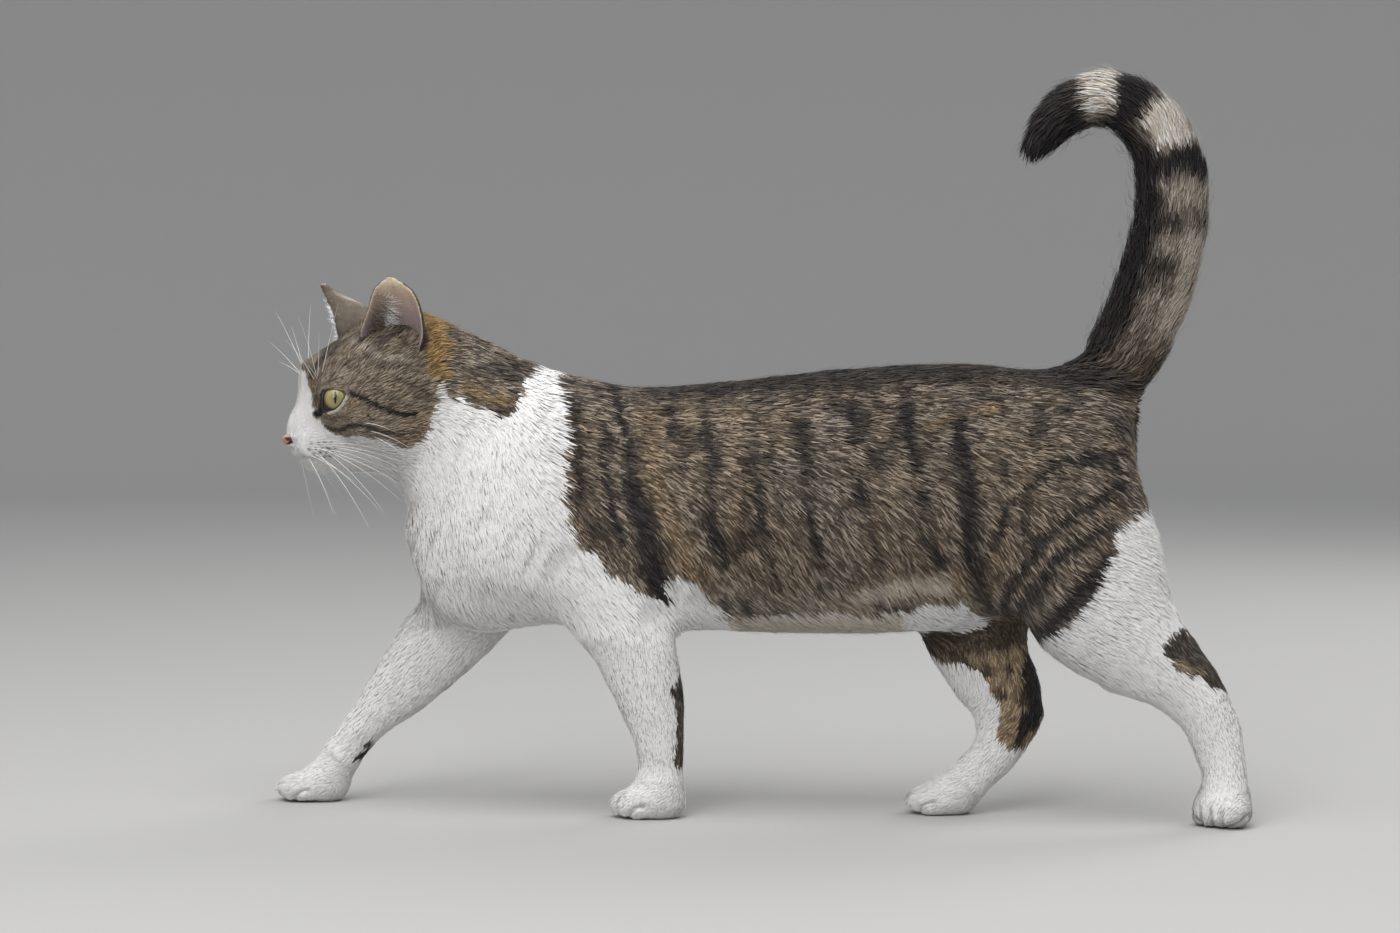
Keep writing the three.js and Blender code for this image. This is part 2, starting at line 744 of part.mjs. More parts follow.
// Two planes part the lower jaw from the head: along the lips, and up behind their corners.
const mouthCut = {
  point: cuts.mouth.point.clone().applyMatrix4(headFrame),
  normal: cuts.mouth.normal.clone().transformDirection(headFrame),
};
const jawCut = {
  point: cuts.jawJoint.point.clone().applyMatrix4(headFrame),
  normal: cuts.jawJoint.normal.clone().transformDirection(headFrame),
};
// The lower jaw has the room below the first plane and ahead of the second; the head is cut
// back a little more, so that the two pieces keep their gap.
const everywhere = () => solidOf(new THREE.BoxGeometry(FAR * 2, FAR * 2, FAR * 2));
const jawRoom = [mouthCut, jawCut].reduce(beyond, everywhere());
const widerJawRoom = [mouthCut, jawCut].reduce(
  (solid, plane) =>
    solid.trimByPlane(plane.normal.toArray(), plane.point.dot(plane.normal) - GAP / 2),
  everywhere(),
);
// The ears stand on the head's surface, a gap above it.
const headGrown = solidOf(surfaceOf((x, y, z) => flesh(x, y, z) - GAP, headBox, HEAD_STEP));

const headPieces = {
  head: largest(hollowed.subtract(widerJawRoom)),
  lower_jaw: largest(hollowed.intersect(jawRoom)),
  eye_left: placedInHead(eyeball(1, EYE_RADIUS)),
  eye_right: placedInHead(eyeball(-1, EYE_RADIUS)),
  nose: placedInHead(noseLeather(0)),
  ear_left: largest(earSolid(ears.left).subtract(headGrown)),
  ear_right: largest(earSolid(ears.right).subtract(headGrown)),
};

// ---- the scene graph --------------------------------------------------------------------------

const coats = {
  tabby: new THREE.MeshStandardMaterial({ color: 0x5b4f44, roughness: 0.9 }),
  white: new THREE.MeshStandardMaterial({ color: 0xe6e4e2, roughness: 0.9 }),
  ginger: new THREE.MeshStandardMaterial({ color: 0xa4794c, roughness: 0.9 }),
  eye: new THREE.MeshStandardMaterial({ color: 0x9c9a5e, roughness: 0.1 }),
  nose: new THREE.MeshStandardMaterial({ color: 0xc98a80, roughness: 0.5 }),
};
const coatOf = (name) => {
  if (name.startsWith("eye")) return coats.eye;
  if (name === "nose") return coats.nose;
  if (/paw|foreleg|foot|jaw|neck|shin_left/.test(name)) return coats.white;
  return /hind_right_shin/.test(name) ? coats.ginger : coats.tabby;
};

const cat = new THREE.Group();
for (const [name, solid] of Object.entries({ ...headPieces, ...fleshPieces })) {
  const piece = new THREE.Mesh(geometryOf(solid), coatOf(name));
  piece.name = name;
  cat.add(piece);
}

// The origin is on the floor, under the middle of the cat's length and width.
const bounds = new THREE.Box3().setFromObject(cat, true);
const middle = bounds.getCenter(new THREE.Vector3());
cat.position.set(-middle.x, -middle.y, -bounds.min.z);

export default cat;
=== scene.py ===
import json
import math

import bpy
import numpy as np
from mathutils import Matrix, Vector
from mathutils.bvhtree import BVHTree


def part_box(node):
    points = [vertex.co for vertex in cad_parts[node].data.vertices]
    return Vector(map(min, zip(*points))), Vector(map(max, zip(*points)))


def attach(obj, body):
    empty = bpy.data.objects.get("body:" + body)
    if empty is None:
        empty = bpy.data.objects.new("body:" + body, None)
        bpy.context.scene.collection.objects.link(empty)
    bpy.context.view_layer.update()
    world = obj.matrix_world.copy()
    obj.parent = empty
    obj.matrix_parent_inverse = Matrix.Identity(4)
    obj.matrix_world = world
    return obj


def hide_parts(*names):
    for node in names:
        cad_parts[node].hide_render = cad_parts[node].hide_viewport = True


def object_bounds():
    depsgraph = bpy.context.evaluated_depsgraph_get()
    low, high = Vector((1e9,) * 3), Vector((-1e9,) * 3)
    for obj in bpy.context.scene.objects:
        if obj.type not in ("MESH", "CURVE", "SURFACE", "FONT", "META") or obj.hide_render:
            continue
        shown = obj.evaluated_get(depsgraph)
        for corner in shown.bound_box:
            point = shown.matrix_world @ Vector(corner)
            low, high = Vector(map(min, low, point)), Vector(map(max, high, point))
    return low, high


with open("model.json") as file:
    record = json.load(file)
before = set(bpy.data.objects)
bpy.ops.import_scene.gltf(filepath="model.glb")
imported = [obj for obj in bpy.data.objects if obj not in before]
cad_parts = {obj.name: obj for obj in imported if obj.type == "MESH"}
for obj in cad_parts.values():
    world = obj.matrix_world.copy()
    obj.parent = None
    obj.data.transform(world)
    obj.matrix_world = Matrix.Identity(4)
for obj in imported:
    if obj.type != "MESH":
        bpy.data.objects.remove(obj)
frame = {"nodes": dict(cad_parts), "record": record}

cad_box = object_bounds()
MM = 0.001

# ---- the room ------------------------------------------------------------------------------------
# A plain pale floor that sweeps up all round into a pale wall, under three large soft lamps: one
# overhead, one to the cat's left and one behind it. The camera stands two metres off the cat's
# left side, at the height of its back.
FLOOR_RADIUS = 4.2
WALL_HEIGHT = 3.6
WALL_BEND = 1.6  # the radius of the sweep between them
BEND_STEPS = 10

bpy.ops.object.select_all(action="DESELECT")
bpy.ops.mesh.primitive_circle_add(vertices=96, radius=0.5, fill_type="NGON")
floor = bpy.context.object
floor.name = "studio_floor"
bpy.ops.object.mode_set(mode="EDIT")
bpy.ops.mesh.select_mode(type="EDGE")
bpy.ops.mesh.select_all(action="SELECT")
bpy.ops.mesh.region_to_loop()
bpy.ops.mesh.extrude_edges_move()
bpy.ops.transform.resize(value=(2 * FLOOR_RADIUS, 2 * FLOOR_RADIUS, 1))
for step in range(1, BEND_STEPS + 1):
    before, after = [(math.pi / 2) * done / BEND_STEPS for done in (step - 1, step)]
    widths = [FLOOR_RADIUS + WALL_BEND * math.sin(turn) for turn in (before, after)]
    wider = widths[1] / widths[0]
    bpy.ops.mesh.extrude_edges_move()
    bpy.ops.transform.resize(value=(wider, wider, 1))
    bpy.ops.transform.translate(value=(0, 0, WALL_BEND * (math.cos(before) - math.cos(after))))
bpy.ops.mesh.extrude_edges_move()
bpy.ops.transform.translate(value=(0, 0, WALL_HEIGHT - WALL_BEND))
bpy.ops.mesh.select_all(action="SELECT")
bpy.ops.mesh.normals_make_consistent(inside=True)
bpy.ops.object.mode_set(mode="OBJECT")
bpy.ops.object.shade_smooth()


def node_setter(material):
    """Adds a node to the material and sets its sockets by name."""
    tree = material.node_tree

    def add(kind, **inputs):
        node = tree.nodes.new(kind)
        for name, value in inputs.items():
            node.inputs[name.replace("_", " ")].default_value = value
        return node

    return add, tree.links.new


def principled(name, roughness, **sockets):
    """A material with its shader; the sockets are set on the shader itself."""
    material = bpy.data.materials.new(name)
    material.use_nodes = True
    shader = material.node_tree.nodes["Principled BSDF"]
    shader.inputs["Roughness"].default_value = roughness
    for socket, value in sockets.items():
        shader.inputs[socket.replace("_", " ")].default_value = value
    return material, shader


def two_toned(material, shader, value, low, high):
    """The shader's colour goes from low to high with a node's value."""
    add, link = node_setter(material)
    tone = add("ShaderNodeValToRGB")
    for element, colour in zip(tone.color_ramp.elements, (low, high)):
        element.color = (*colour, 1)
    link(value, tone.inputs["Fac"])
    link(tone.outputs["Color"], shader.inputs["Base Color"])


paper, shader = principled("pale_floor", 0.85, Specular_IOR_Level=0.2)
add, link = node_setter(paper)
mottle = add("ShaderNodeTexNoise", Scale=1.4, Detail=3.0)
two_toned(paper, shader, mottle.outputs["Fac"], (0.42, 0.418, 0.412), (0.47, 0.468, 0.462))
floor.data.materials.append(paper)

world = bpy.data.worlds.new("studio_air")
bpy.context.scene.world = world
world.use_nodes = True
air = world.node_tree.nodes["Background"]
air.inputs["Color"].default_value = (0.96, 0.975, 1.0, 1)
air.inputs["Strength"].default_value = 0.72


def soft_lamp(name, place, aim, size, power, colour):
    lamp = bpy.data.lights.new(name, "AREA")
    lamp.shape = "DISK"
    lamp.size = size
    lamp.energy = power
    lamp.color = colour
    holder = bpy.data.objects.new(name, lamp)
    bpy.context.scene.collection.objects.link(holder)
    holder.location = place
    holder.rotation_euler = (Vector(aim) - Vector(place)).to_track_quat("-Z", "Y").to_euler()


soft_lamp("lamp_overhead", (-0.2, -0.9, 2.3), (0, 0, 0.15), 2.0, 38, (1.0, 0.985, 0.96))
soft_lamp("lamp_left", (-0.5, -2.5, 1.6), (-0.05, 0, 0.2), 1.5, 28, (1.0, 0.985, 0.965))
soft_lamp("lamp_behind", (1.3, 1.6, 1.6), (0, 0, 0.25), 1.4, 18, (1.0, 0.98, 0.95))

CAMERA_DISTANCE = 2.0
CAMERA_TURN = math.radians(5)  # the camera looks this far round to the cat's left, from +Y
CAMERA_HEIGHT = 0.2788
CAMERA_SIDESTEP = -0.00106
SENSOR_WIDTH, LENS = 36, 36 * 3400 / 1400  # mm
SIDEWAYS, DOWNWARD = math.radians(0.8425), math.radians(2.1303)

camera_data = bpy.data.cameras.new("camera")
camera_data.sensor_width = SENSOR_WIDTH
camera_data.lens = LENS
camera = bpy.data.objects.new("camera", camera_data)
bpy.context.scene.collection.objects.link(camera)
camera.location = (
    CAMERA_DISTANCE * math.sin(CAMERA_TURN) + CAMERA_SIDESTEP,
    -CAMERA_DISTANCE * math.cos(CAMERA_TURN),
    CAMERA_HEIGHT,
)
camera.rotation_euler = (math.pi / 2 - DOWNWARD, 0, CAMERA_TURN + SIDEWAYS)
bpy.context.scene.camera = camera
bpy.context.scene.view_settings.view_transform = "Standard"

# ---- the skin ------------------------------------------------------------------------------------
# The cat's hide, from the lips to the toes and the tip of the tail, one closed form with lids,
# lips and ears. It lies inside the outline of the coat by the coat's own depth.
FLESH = [name for name in frame["nodes"] if not name.startswith(("eye_", "nose"))]
GRAIN = 3.3 * MM  # of the form, before the head and paws are made finer
EAR_GRAIN = 0.85 * MM
OVERLAP = 0.45 * MM  # each piece of flesh grows by this, so that neighbours join

# How deep the coat is over the skin, in mm, on each part. The head's depth grows from the nose.
COAT_DEPTH = {
    "head": 1.1, "lower_jaw": 0.8, "ear": 0.25, "neck": 1.7, "chest": 1.6, "belly": 2.1,
    "rump": 2.2, "tail": 4.2, "thigh": 1.9, "shin": 1.1, "foot": 0.9, "foreleg": 1.0, "paw": 0.6,
    "nose": 0.5, "eye": 1.1,
}
# How many rounds of smoothing each part takes.
SMOOTHING = {
    "head": 2, "lower_jaw": 2, "ear": 2, "neck": 12, "chest": 26, "belly": 34,
    "rump": 28, "tail": 12, "thigh": 18, "shin": 7, "foot": 4, "foreleg": 7, "paw": 1,
    "nose": 1, "eye": 2,
}


def part_values(table, names, labels):
    """The table's value for each label's node, by the word in the node's name."""
    by_name = [next(value for word, value in table.items() if word in name) for name in names]
    return np.array(by_name, dtype=float)[labels]


def select_only(*pieces):
    """Selects the pieces and nothing else; the last one is active."""
    bpy.ops.object.select_all(action="DESELECT")
    for piece in pieces:
        piece.select_set(True)
        bpy.context.view_layer.objects.active = piece


def joined(pieces, name):
    select_only(*pieces)
    bpy.ops.object.join()
    bpy.context.object.name = name
    return bpy.context.object


def copies_of(names, piece):
    """The solids' meshes as one new object, each with its doubles merged and grown a little."""
    twins = [bpy.data.objects.new(piece, frame["nodes"][name].data.copy()) for name in names]
    for twin in twins:
        bpy.context.scene.collection.objects.link(twin)
    whole = joined(twins, piece)
    whole.data.materials.clear()
    bpy.ops.object.mode_set(mode="EDIT")
    bpy.ops.mesh.select_all(action="SELECT")
    bpy.ops.mesh.remove_doubles(threshold=0.01 * MM)
    bpy.ops.transform.shrink_fatten(value=OVERLAP)
    bpy.ops.object.mode_set(mode="OBJECT")
    return whole


def remesh(piece, grain):
    """One closed form in place of the piece's overlapping shells."""
    select_only(piece)
    modifier = piece.modifiers.new("remesh", "REMESH")
    modifier.mode = "VOXEL"
    modifier.voxel_size = grain
    bpy.ops.object.modifier_apply(modifier=modifier.name)


def read_each(parts, name, width=3, kind=np.float32):
    """What every part of a mesh holds under a name, as the rows of an array."""
    flat = np.empty(width * len(parts), dtype=kind)
    parts.foreach_get(name, flat)
    return flat.reshape(-1, width)


def read_vertices(mesh):
    return read_each(mesh.vertices, "co").astype(np.float64)


def read_normals(mesh):
    return read_each(mesh.vertex_normals, "vector").astype(np.float64)


def write_vertices(mesh, places):
    mesh.vertices.foreach_set("co", np.asarray(places, dtype=np.float32).ravel())
    mesh.update()


def spread(mesh, values, rounds, strength=0.5):
    """Each vertex's values move towards the mean of its neighbours', round after round.

    The strength is one number, one for each vertex, or a function of the rounds done.
    """
    count = len(mesh.vertices)
    first, second = read_each(mesh.edges, "vertices", 2, np.int32).T
    ends, others = np.concatenate([first, second]), np.concatenate([second, first])
    share = 1 / np.maximum(np.bincount(ends, minlength=count), 1)
    values = values.copy()
    for done in range(rounds):
        pull = strength(done) if callable(strength) else strength
        for axis in range(values.shape[1]):
            mean = np.bincount(ends, values[others, axis], count) * share
            values[:, axis] += pull * (mean - values[:, axis])
    return values


def on_faces(piece, chosen, operator, **settings):
    """Works an edit-mode operator on the chosen faces of the piece alone."""
    select_only(piece)
    bpy.ops.object.mode_set(mode="EDIT")
    bpy.ops.mesh.select_mode(type="FACE")
    bpy.ops.mesh.select_all(action="DESELECT")
    bpy.ops.object.mode_set(mode="OBJECT")
    piece.data.polygons.foreach_set("select", chosen)
    bpy.ops.object.mode_set(mode="EDIT")
    operator(**settings)
    bpy.ops.object.mode_set(mode="OBJECT")


def face_centres(mesh):
    return read_each(mesh.polygons, "center").astype(np.float64)


def middle(node):
    return sum(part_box(node), Vector()) / 2


class Outline:
    """The solids' surface: which node is nearest to a place, and how deep the place lies."""

    def __init__(self, names):
        corners, faces, owner = [], [], []
        for number, name in enumerate(names):
            mesh = frame["nodes"][name].data
            first = sum(len(block) for block in corners)
            corners.append(read_vertices(mesh))
            faces += [[first + corner for corner in face.vertices] for face in mesh.polygons]
            owner += [number] * len(mesh.polygons)
        self.tree = BVHTree.FromPolygons(np.concatenate(corners).tolist(), faces)
        self.owner = np.array(owner)

    def nodes(self, places):
        return self.owner[[self.tree.find_nearest(place)[2] for place in places.tolist()]]

    def feet(self, places):
        """The nearest points of the surface, and how far inside it each place is."""
        found = [self.tree.find_nearest(place) for place in places.tolist()]
        feet = np.array([hit[0] for hit in found])
        outward = np.array([hit[1] for hit in found])
        return feet, -np.einsum("ij,ij->i", places - feet, outward)


BODY = [name for name in frame["nodes"] if not name.startswith("ear_")]
skin = copies_of(BODY, "skin")
remesh(skin, GRAIN)

outline = Outline(BODY)
places = read_vertices(skin.data)
rounds = spread(skin.data, part_values(SMOOTHING, BODY, outline.nodes(places))[:, None], 4)[:, 0]
places = spread(skin.data, places, int(rounds.max()), lambda done: 0.8 * (rounds > done))
write_vertices(skin.data, places)

# The head and paws get a grain twice as fine, and follow their solids closely.
FINE = {"head": 1, "lower_jaw": 1, "paw": 1, "nose": 1, "eye": 1, "": 0}
is_fine = part_values(FINE, BODY, outline.nodes(face_centres(skin.data))) > 0
on_faces(skin, is_fine, bpy.ops.mesh.subdivide, number_cuts=1)
places = read_vertices(skin.data)
fine = spread(skin.data, part_values(FINE, BODY, outline.nodes(places))[:, None], 3)[:, 0]
feet, _ = outline.feet(places)
places += (feet - places) * np.clip(2 * fine - 1, 0, 1)[:, None]
write_vertices(skin.data, places)
places = spread(skin.data, places, 6, 0.5 * (fine > 0))
write_vertices(skin.data, places)

# It sinks under the coat.
NOSE = np.array(middle("nose"))
depth = part_values(COAT_DEPTH, BODY, outline.nodes(places))
from_nose = np.linalg.norm(places - NOSE, axis=1) / MM
depth = np.where(fine > 0.5, np.minimum(depth, 0.5 + 0.045 * from_nose), depth)
_, inside = outline.feet(places)
sink = spread(skin.data, (depth * MM - inside)[:, None], 24)
write_vertices(skin.data, places - read_normals(skin.data) * sink)

# The head's own frame: ahead from the middle of the braincase, across to the cat's left, and up.
EYE_AHEAD, EYE_BELOW = 30.2, 8.8  # the eyes' centres from the middle of the head, mm
EYE_RADIUS = 10.8
EYE_OUTWARD = math.radians(55)  # the way its opening faces, from straight ahead
LIDS_REACH = 19  # mm from an eye's centre, beyond which nothing is a lid
FACE_REACH = 24  # the same for the marks and the hair round it
HANDS = {"left": 1, "right": -1}
between_eyes = middle("eye_left") - middle("eye_right")
across = between_eyes.normalized()
HEAD_AXES = np.array([across.cross(Vector((0, 0, 1))), across, Vector((0, 0, 1))])
HEAD_MIDDLE = (
    np.array((middle("eye_left") + middle("eye_right")) / 2)
    - MM * (EYE_AHEAD * HEAD_AXES[0] - EYE_BELOW * HEAD_AXES[2])
)
EYE_SPACING = between_eyes.length / MM / 2  # of each from the middle


def in_head(places):
    return (places - HEAD_MIDDLE) @ HEAD_AXES.T / MM


def from_head(points):
    return np.asarray(points) * MM @ HEAD_AXES + HEAD_MIDDLE


NOSE_IN_HEAD = in_head(NOSE)


def ramp(values, start, end):
    """0 up to start, 1 from end on, and smooth between; it falls where end is the lower one."""
    t = np.clip((values - start) / (end - start), 0, 1)
    return t * t * (3 - 2 * t)


def eye_frame(hand):
    """The eye's centre and its axes in the head: outward, towards the outer corner, and up."""
    centre = np.array([EYE_AHEAD, hand * EYE_SPACING, -EYE_BELOW])
    sine, cosine = math.sin(EYE_OUTWARD), math.cos(EYE_OUTWARD)
    return centre, np.array([[cosine, hand * sine, 0], [-sine, hand * cosine, 0], [0, 0, 1]])


# The opening between the lids, mm towards the outer corner and up as the eye looks. It runs from
# the tear duct, low in front, under the level upper lid to the outer corner.
LID_OPENING = [
    (-3.9, 4.2), (-3.2, 5.4), (-1.5, 6.1), (1.5, 6.4), (5.2, 6.1), (8.5, 4.9), (8.1, 1.8), (6.0, -2.2),
    (3.2, -4.7), (0.4, -5.5), (-2.2, -5.8), (-4.3, -5.5), (-4.5, -3.4), (-4.2, -1.0), (-4.0, 1.6),
]


def from_line(flat, line):
    """How far each flat place is from a line of points."""
    nearest = np.full(len(flat), 1e3)
    line = np.asarray(line, dtype=float)
    for start, end in zip(line[:-1], line[1:]):
        along = end - start
        share = np.clip(((flat - start) @ along) / max(along @ along, 1e-9), 0, 1)
        nearest = np.minimum(nearest, np.linalg.norm(flat - start - share[:, None] * along, axis=1))
    return nearest


def inside_shape(flat, shape):
    """How far each flat place is inside a closed shape; outside it is negative."""
    ring = np.asarray([*shape, shape[0]], dtype=float)
    inside = np.zeros(len(flat), dtype=bool)
    for (x0, y0), (x1, y1) in zip(ring[:-1], ring[1:]):
        if y0 != y1:
            crosses = (y0 > flat[:, 1]) != (y1 > flat[:, 1])
            inside ^= crosses & (flat[:, 0] < x0 + (flat[:, 1] - y0) * (x1 - x0) / (y1 - y0))
    return np.where(inside, 1, -1) * from_line(flat, ring)


def cut_corners(ring, share=0.22):
    """The closed ring with each corner replaced by two points a little way along its sides."""
    ring = np.asarray(ring, dtype=float)
    after = np.roll(ring, -1, axis=0)
    pairs = [ring + (after - ring) * share, after + (ring - after) * share]
    return np.stack(pairs, axis=1).reshape(-1, 2)


LID_RING = cut_corners(LID_OPENING)
# The black skin and hair in front of the opening and down round the tear duct: partly the cat's own
# black, partly painted shade for the inner corner of the eye, which lies in shadow.
DARK_AND_SHADED_CORNER = [
    (-2.5, 6.8), (-5.4, 5.6), (-5.9, 1), (-6.4, -2.2), (-8, -5.2), (-11, -8.2), (-10.6, -9.8), (-6, -8.4),
    (-4, -7.4), (-3, 0),
]


def from_lids(points, hand):
    """How far outside the opening each point of the head lies, mm, and how far from the eye."""
    centre, axes = eye_frame(hand)
    away = np.linalg.norm(points - centre, axis=1)
    outside = np.full(len(points), 20.0)
    close = np.flatnonzero(away < 30)
    seen = (points[close] - centre) @ axes.T
    outside[close] = np.where(seen[:, 0] > 0, -inside_shape(seen[:, 1:], LID_RING), 20)
    return outside, away


# The ears: each cup of gristle keeps its solid's shape, with its tip rounded over, and its foot goes
# down into the head. The corners of each tip are given in the head's frame, front and rear.
EAR_ROOT = 5.0
EAR_TIP_REACH = 9  # how far round its middle the tip is rounded, mm
EAR_GROWTH = 0.45  # mm, before it is smoothed
EAR_TIPS = {"left": [(6, 45, 62.4), (2, 47.4, 62.4)], "right": [(25.4, -45, 59.6), (22, -46.6, 59.8)]}
TIP_RISE = {"left": 1.3, "right": 0.8}  # mm

ear_pieces = []
for side in HANDS:
    ear = copies_of(["ear_" + side], "ear_" + side + "_skin")
    remesh(ear, EAR_GRAIN)
    places = read_vertices(ear.data) + read_normals(ear.data) * (EAR_GROWTH * MM)
    points = in_head(spread(ear.data, places, 14))
    front_corner, rear_corner = np.array(EAR_TIPS[side])
    chord = rear_corner - front_corner
    half = np.linalg.norm(chord) / 2
    from_tip = points - (front_corner + rear_corner) / 2
    share = from_tip @ chord / (2 * half) / (half + 0.9)
    arch = np.maximum(1 - share**2, 0) * ramp(from_tip[:, 2], -5, -1)
    points[:, 2] += TIP_RISE[side] * arch * (np.linalg.norm(from_tip, axis=1) < EAR_TIP_REACH)
    places = from_head(points)
    feet, inside = outline.feet(places)
    height = -inside / MM
    down = (feet - places) / np.maximum(np.abs(inside), 1e-6)[:, None]
    places += down * (EAR_ROOT * MM * ramp(height, EAR_ROOT, 0.5))[:, None]
    write_vertices(ear.data, places)
    ear_pieces.append(ear)

# Lids, tear duct, lips, philtrum and whisker pads, on a finer mesh.
centres = in_head(face_centres(skin.data))
near_face = (centres[:, 0] > 22) & (centres[:, 2] < 12) & (centres[:, 2] > -56)
on_faces(skin, near_face, bpy.ops.mesh.subdivide, number_cuts=1)
centres = in_head(face_centres(skin.data))
near_eye = np.zeros(len(centres), dtype=bool)
for hand in HANDS.values():
    outside, away = from_lids(centres, hand)
    near_eye |= (np.abs(outside) < 3.5) & (away < 20)
on_faces(skin, near_eye, bpy.ops.mesh.subdivide, number_cuts=1)
points = in_head(read_vertices(skin.data))

# The tip of the muzzle is drawn out to its solid, along lines from a point inside it.
NOSE_HEART = np.array([46.0, 0, -32.0])
TIP_REACH = 12.0  # how far from the nose this goes, mm
OUTSIDE = 25.0  # well outside the muzzle, mm from its heart
for vertex in np.flatnonzero(np.linalg.norm(points - NOSE_IN_HEAD, axis=1) < TIP_REACH):
    spoke = points[vertex] - NOSE_HEART
    reach = np.linalg.norm(spoke)
    spoke /= reach
    start = Vector(from_head(NOSE_HEART + OUTSIDE * spoke))
    hit = outline.tree.ray_cast(start, Vector(-spoke @ HEAD_AXES))[0]
    if hit is not None:
        from_tip = np.linalg.norm(points[vertex] - NOSE_IN_HEAD)
        wanted = np.linalg.norm(in_head(np.array(hit)) - NOSE_HEART) - 0.6 - 0.06 * from_tip
        share = ramp(spoke[0], 0.1, 0.5) * ramp(from_tip, TIP_REACH, TIP_REACH / 2)
        points[vertex] = NOSE_HEART + spoke * (reach + (wanted - reach) * share)

# The lids lie over the eyeballs.
LID_THICKNESS = 0.95
SOCKET_GAP = 1.6  # between the skin at the bottom of the opening and the eyeball's surface
DUCT_DEPTH = 1.3
for hand in HANDS.values():
    centre, axes = eye_frame(hand)
    outside, away = from_lids(points, hand)
    lid = np.maximum(away, EYE_RADIUS + LID_THICKNESS)
    fade = ramp(outside, 8.5, 2.5) * (outside < 15)
    length = away + (lid - away) * fade * (away < LIDS_REACH)
    # inside the opening the skin goes down behind the eye, and at the tear duct it only dips
    beyond = np.linalg.norm((points - centre) @ axes[1:].T, axis=1) > 0.95 * EYE_RADIUS
    floor_there = np.where(beyond, away - DUCT_DEPTH, EYE_RADIUS - SOCKET_GAP)
    length += (floor_there - length) * ramp(outside, 0, -0.8) * (away < LIDS_REACH)
    points = centre + (points - centre) * (length / np.maximum(away, 1))[:, None]

# The mouth is a groove that runs back under the whisker pads from the notch below the nose.
MOUTH_LINE = [(54, -39.5), (50, -41), (44, -43.2), (37, -45), (29, -45.5)]  # ahead, up


def read_line(line, along):
    """What a line of points, each a place and its value, says at each place along it."""
    return np.interp(along, *np.array(sorted(line), dtype=float).T)


def bump(*offsets):
    """1 in the middle, falling to nothing over the distance that each offset is divided by."""
    return np.exp(-sum(offset**2 for offset in offsets))


PAD_RISE, LIP_RISE, MOUTH_DEPTH, PHILTRUM_DEPTH = 0.7, 1.7, 1.3, 0.8  # mm
ahead, aside, up = points.T
outward = points - np.array([22.0, 0, -38.0])  # from the middle of the jaws
outward /= np.linalg.norm(outward, axis=1)[:, None]
on_muzzle = ramp(ahead, 26, 34) * (np.abs(aside) < 24) * (up < -20)
groove = bump((up - read_line(MOUTH_LINE, ahead)) / 0.9) * on_muzzle
philtrum = bump(aside / 0.7) * ramp(ahead, 44, 48) * ramp(up, -33, -35) * ramp(up, -42, -40)
pads = bump((ahead - 43) / 8, (np.abs(aside) - 8.5) / 5.5, (up + 36) / 4.5)
lip = bump((up + 39.8) / 2.8, aside / 9) * ramp(ahead, 40, 47)
rise = PAD_RISE * pads + LIP_RISE * lip - MOUTH_DEPTH * groove - PHILTRUM_DEPTH * philtrum
points += outward * rise[:, None]
write_vertices(skin.data, from_head(points))

# The toes: three clefts in the front of each paw, and one round each outer toe.
PAW_TURN = {"front_left": 6, "front_right": -2, "hind_left": 62, "hind_right": -4}  # degrees
TOE_CLEFTS = (-7.4, 0.0, 7.4)  # mm across the paw
SIDE_CLEFT = [(12.5, 0), (11.5, 4), (8.5, 8.2), (2.5, 9.2)]  # mm forward and up
CLEFT_DEPTH, CLEFT_WIDTH = 1.3, 1.4
LEAST_HEIGHT = 0.6  # of the skin over the floor, mm
soles = {mount["name"]: np.array(mount["pos_m"]) for mount in frame["record"]["mounts"]}


def in_paw(places, leg):
    """Places as mm forward, across and up from the middle of the paw's sole."""
    turn = math.radians(PAW_TURN[leg])
    forward = np.array([-math.cos(turn), -math.sin(turn), 0])
    axes = np.array([forward, [-forward[1], forward[0], 0], [0, 0, 1]])
    return (places - soles["sole_" + leg]) @ axes.T / MM


def toe_clefts(places, width):
    """How deep in a cleft between toes each place is, from 0 to 1."""
    clefts = np.zeros(len(places))
    for leg in PAW_TURN:
        forward, aside, up = in_paw(places, leg).T
        here = (np.abs(aside) < 22) * (up < 26) * (np.abs(forward) < 40)
        front = here * ramp(forward, 6, 12) * ramp(up, 16, 10)
        for cleft in TOE_CLEFTS:
            clefts = np.maximum(clefts, front * bump((aside - cleft) / width))
        side = here * ramp(np.abs(aside), 5, 8) * ramp(forward, 1, 4)
        away = from_line(np.column_stack([forward, up]), SIDE_CLEFT)
        clefts = np.maximum(clefts, side * bump(away / width))
    return clefts


places = read_vertices(skin.data)
clefts = toe_clefts(places, CLEFT_WIDTH)
places -= read_normals(skin.data) * (CLEFT_DEPTH * MM * clefts)[:, None]
places[:, 2] = np.maximum(places[:, 2], LEAST_HEIGHT * MM)
write_vertices(skin.data, places)

body_count = len(skin.data.vertices)
skin = joined([*ear_pieces, skin], "skin")
bpy.ops.object.shade_smooth()
skin_places = read_vertices(skin.data)
skin_normals = read_normals(skin.data)
skin_nodes = Outline(FLESH).nodes(skin_places)
is_ear = np.arange(len(skin_places)) >= body_count  # the ears' vertices come after the body's

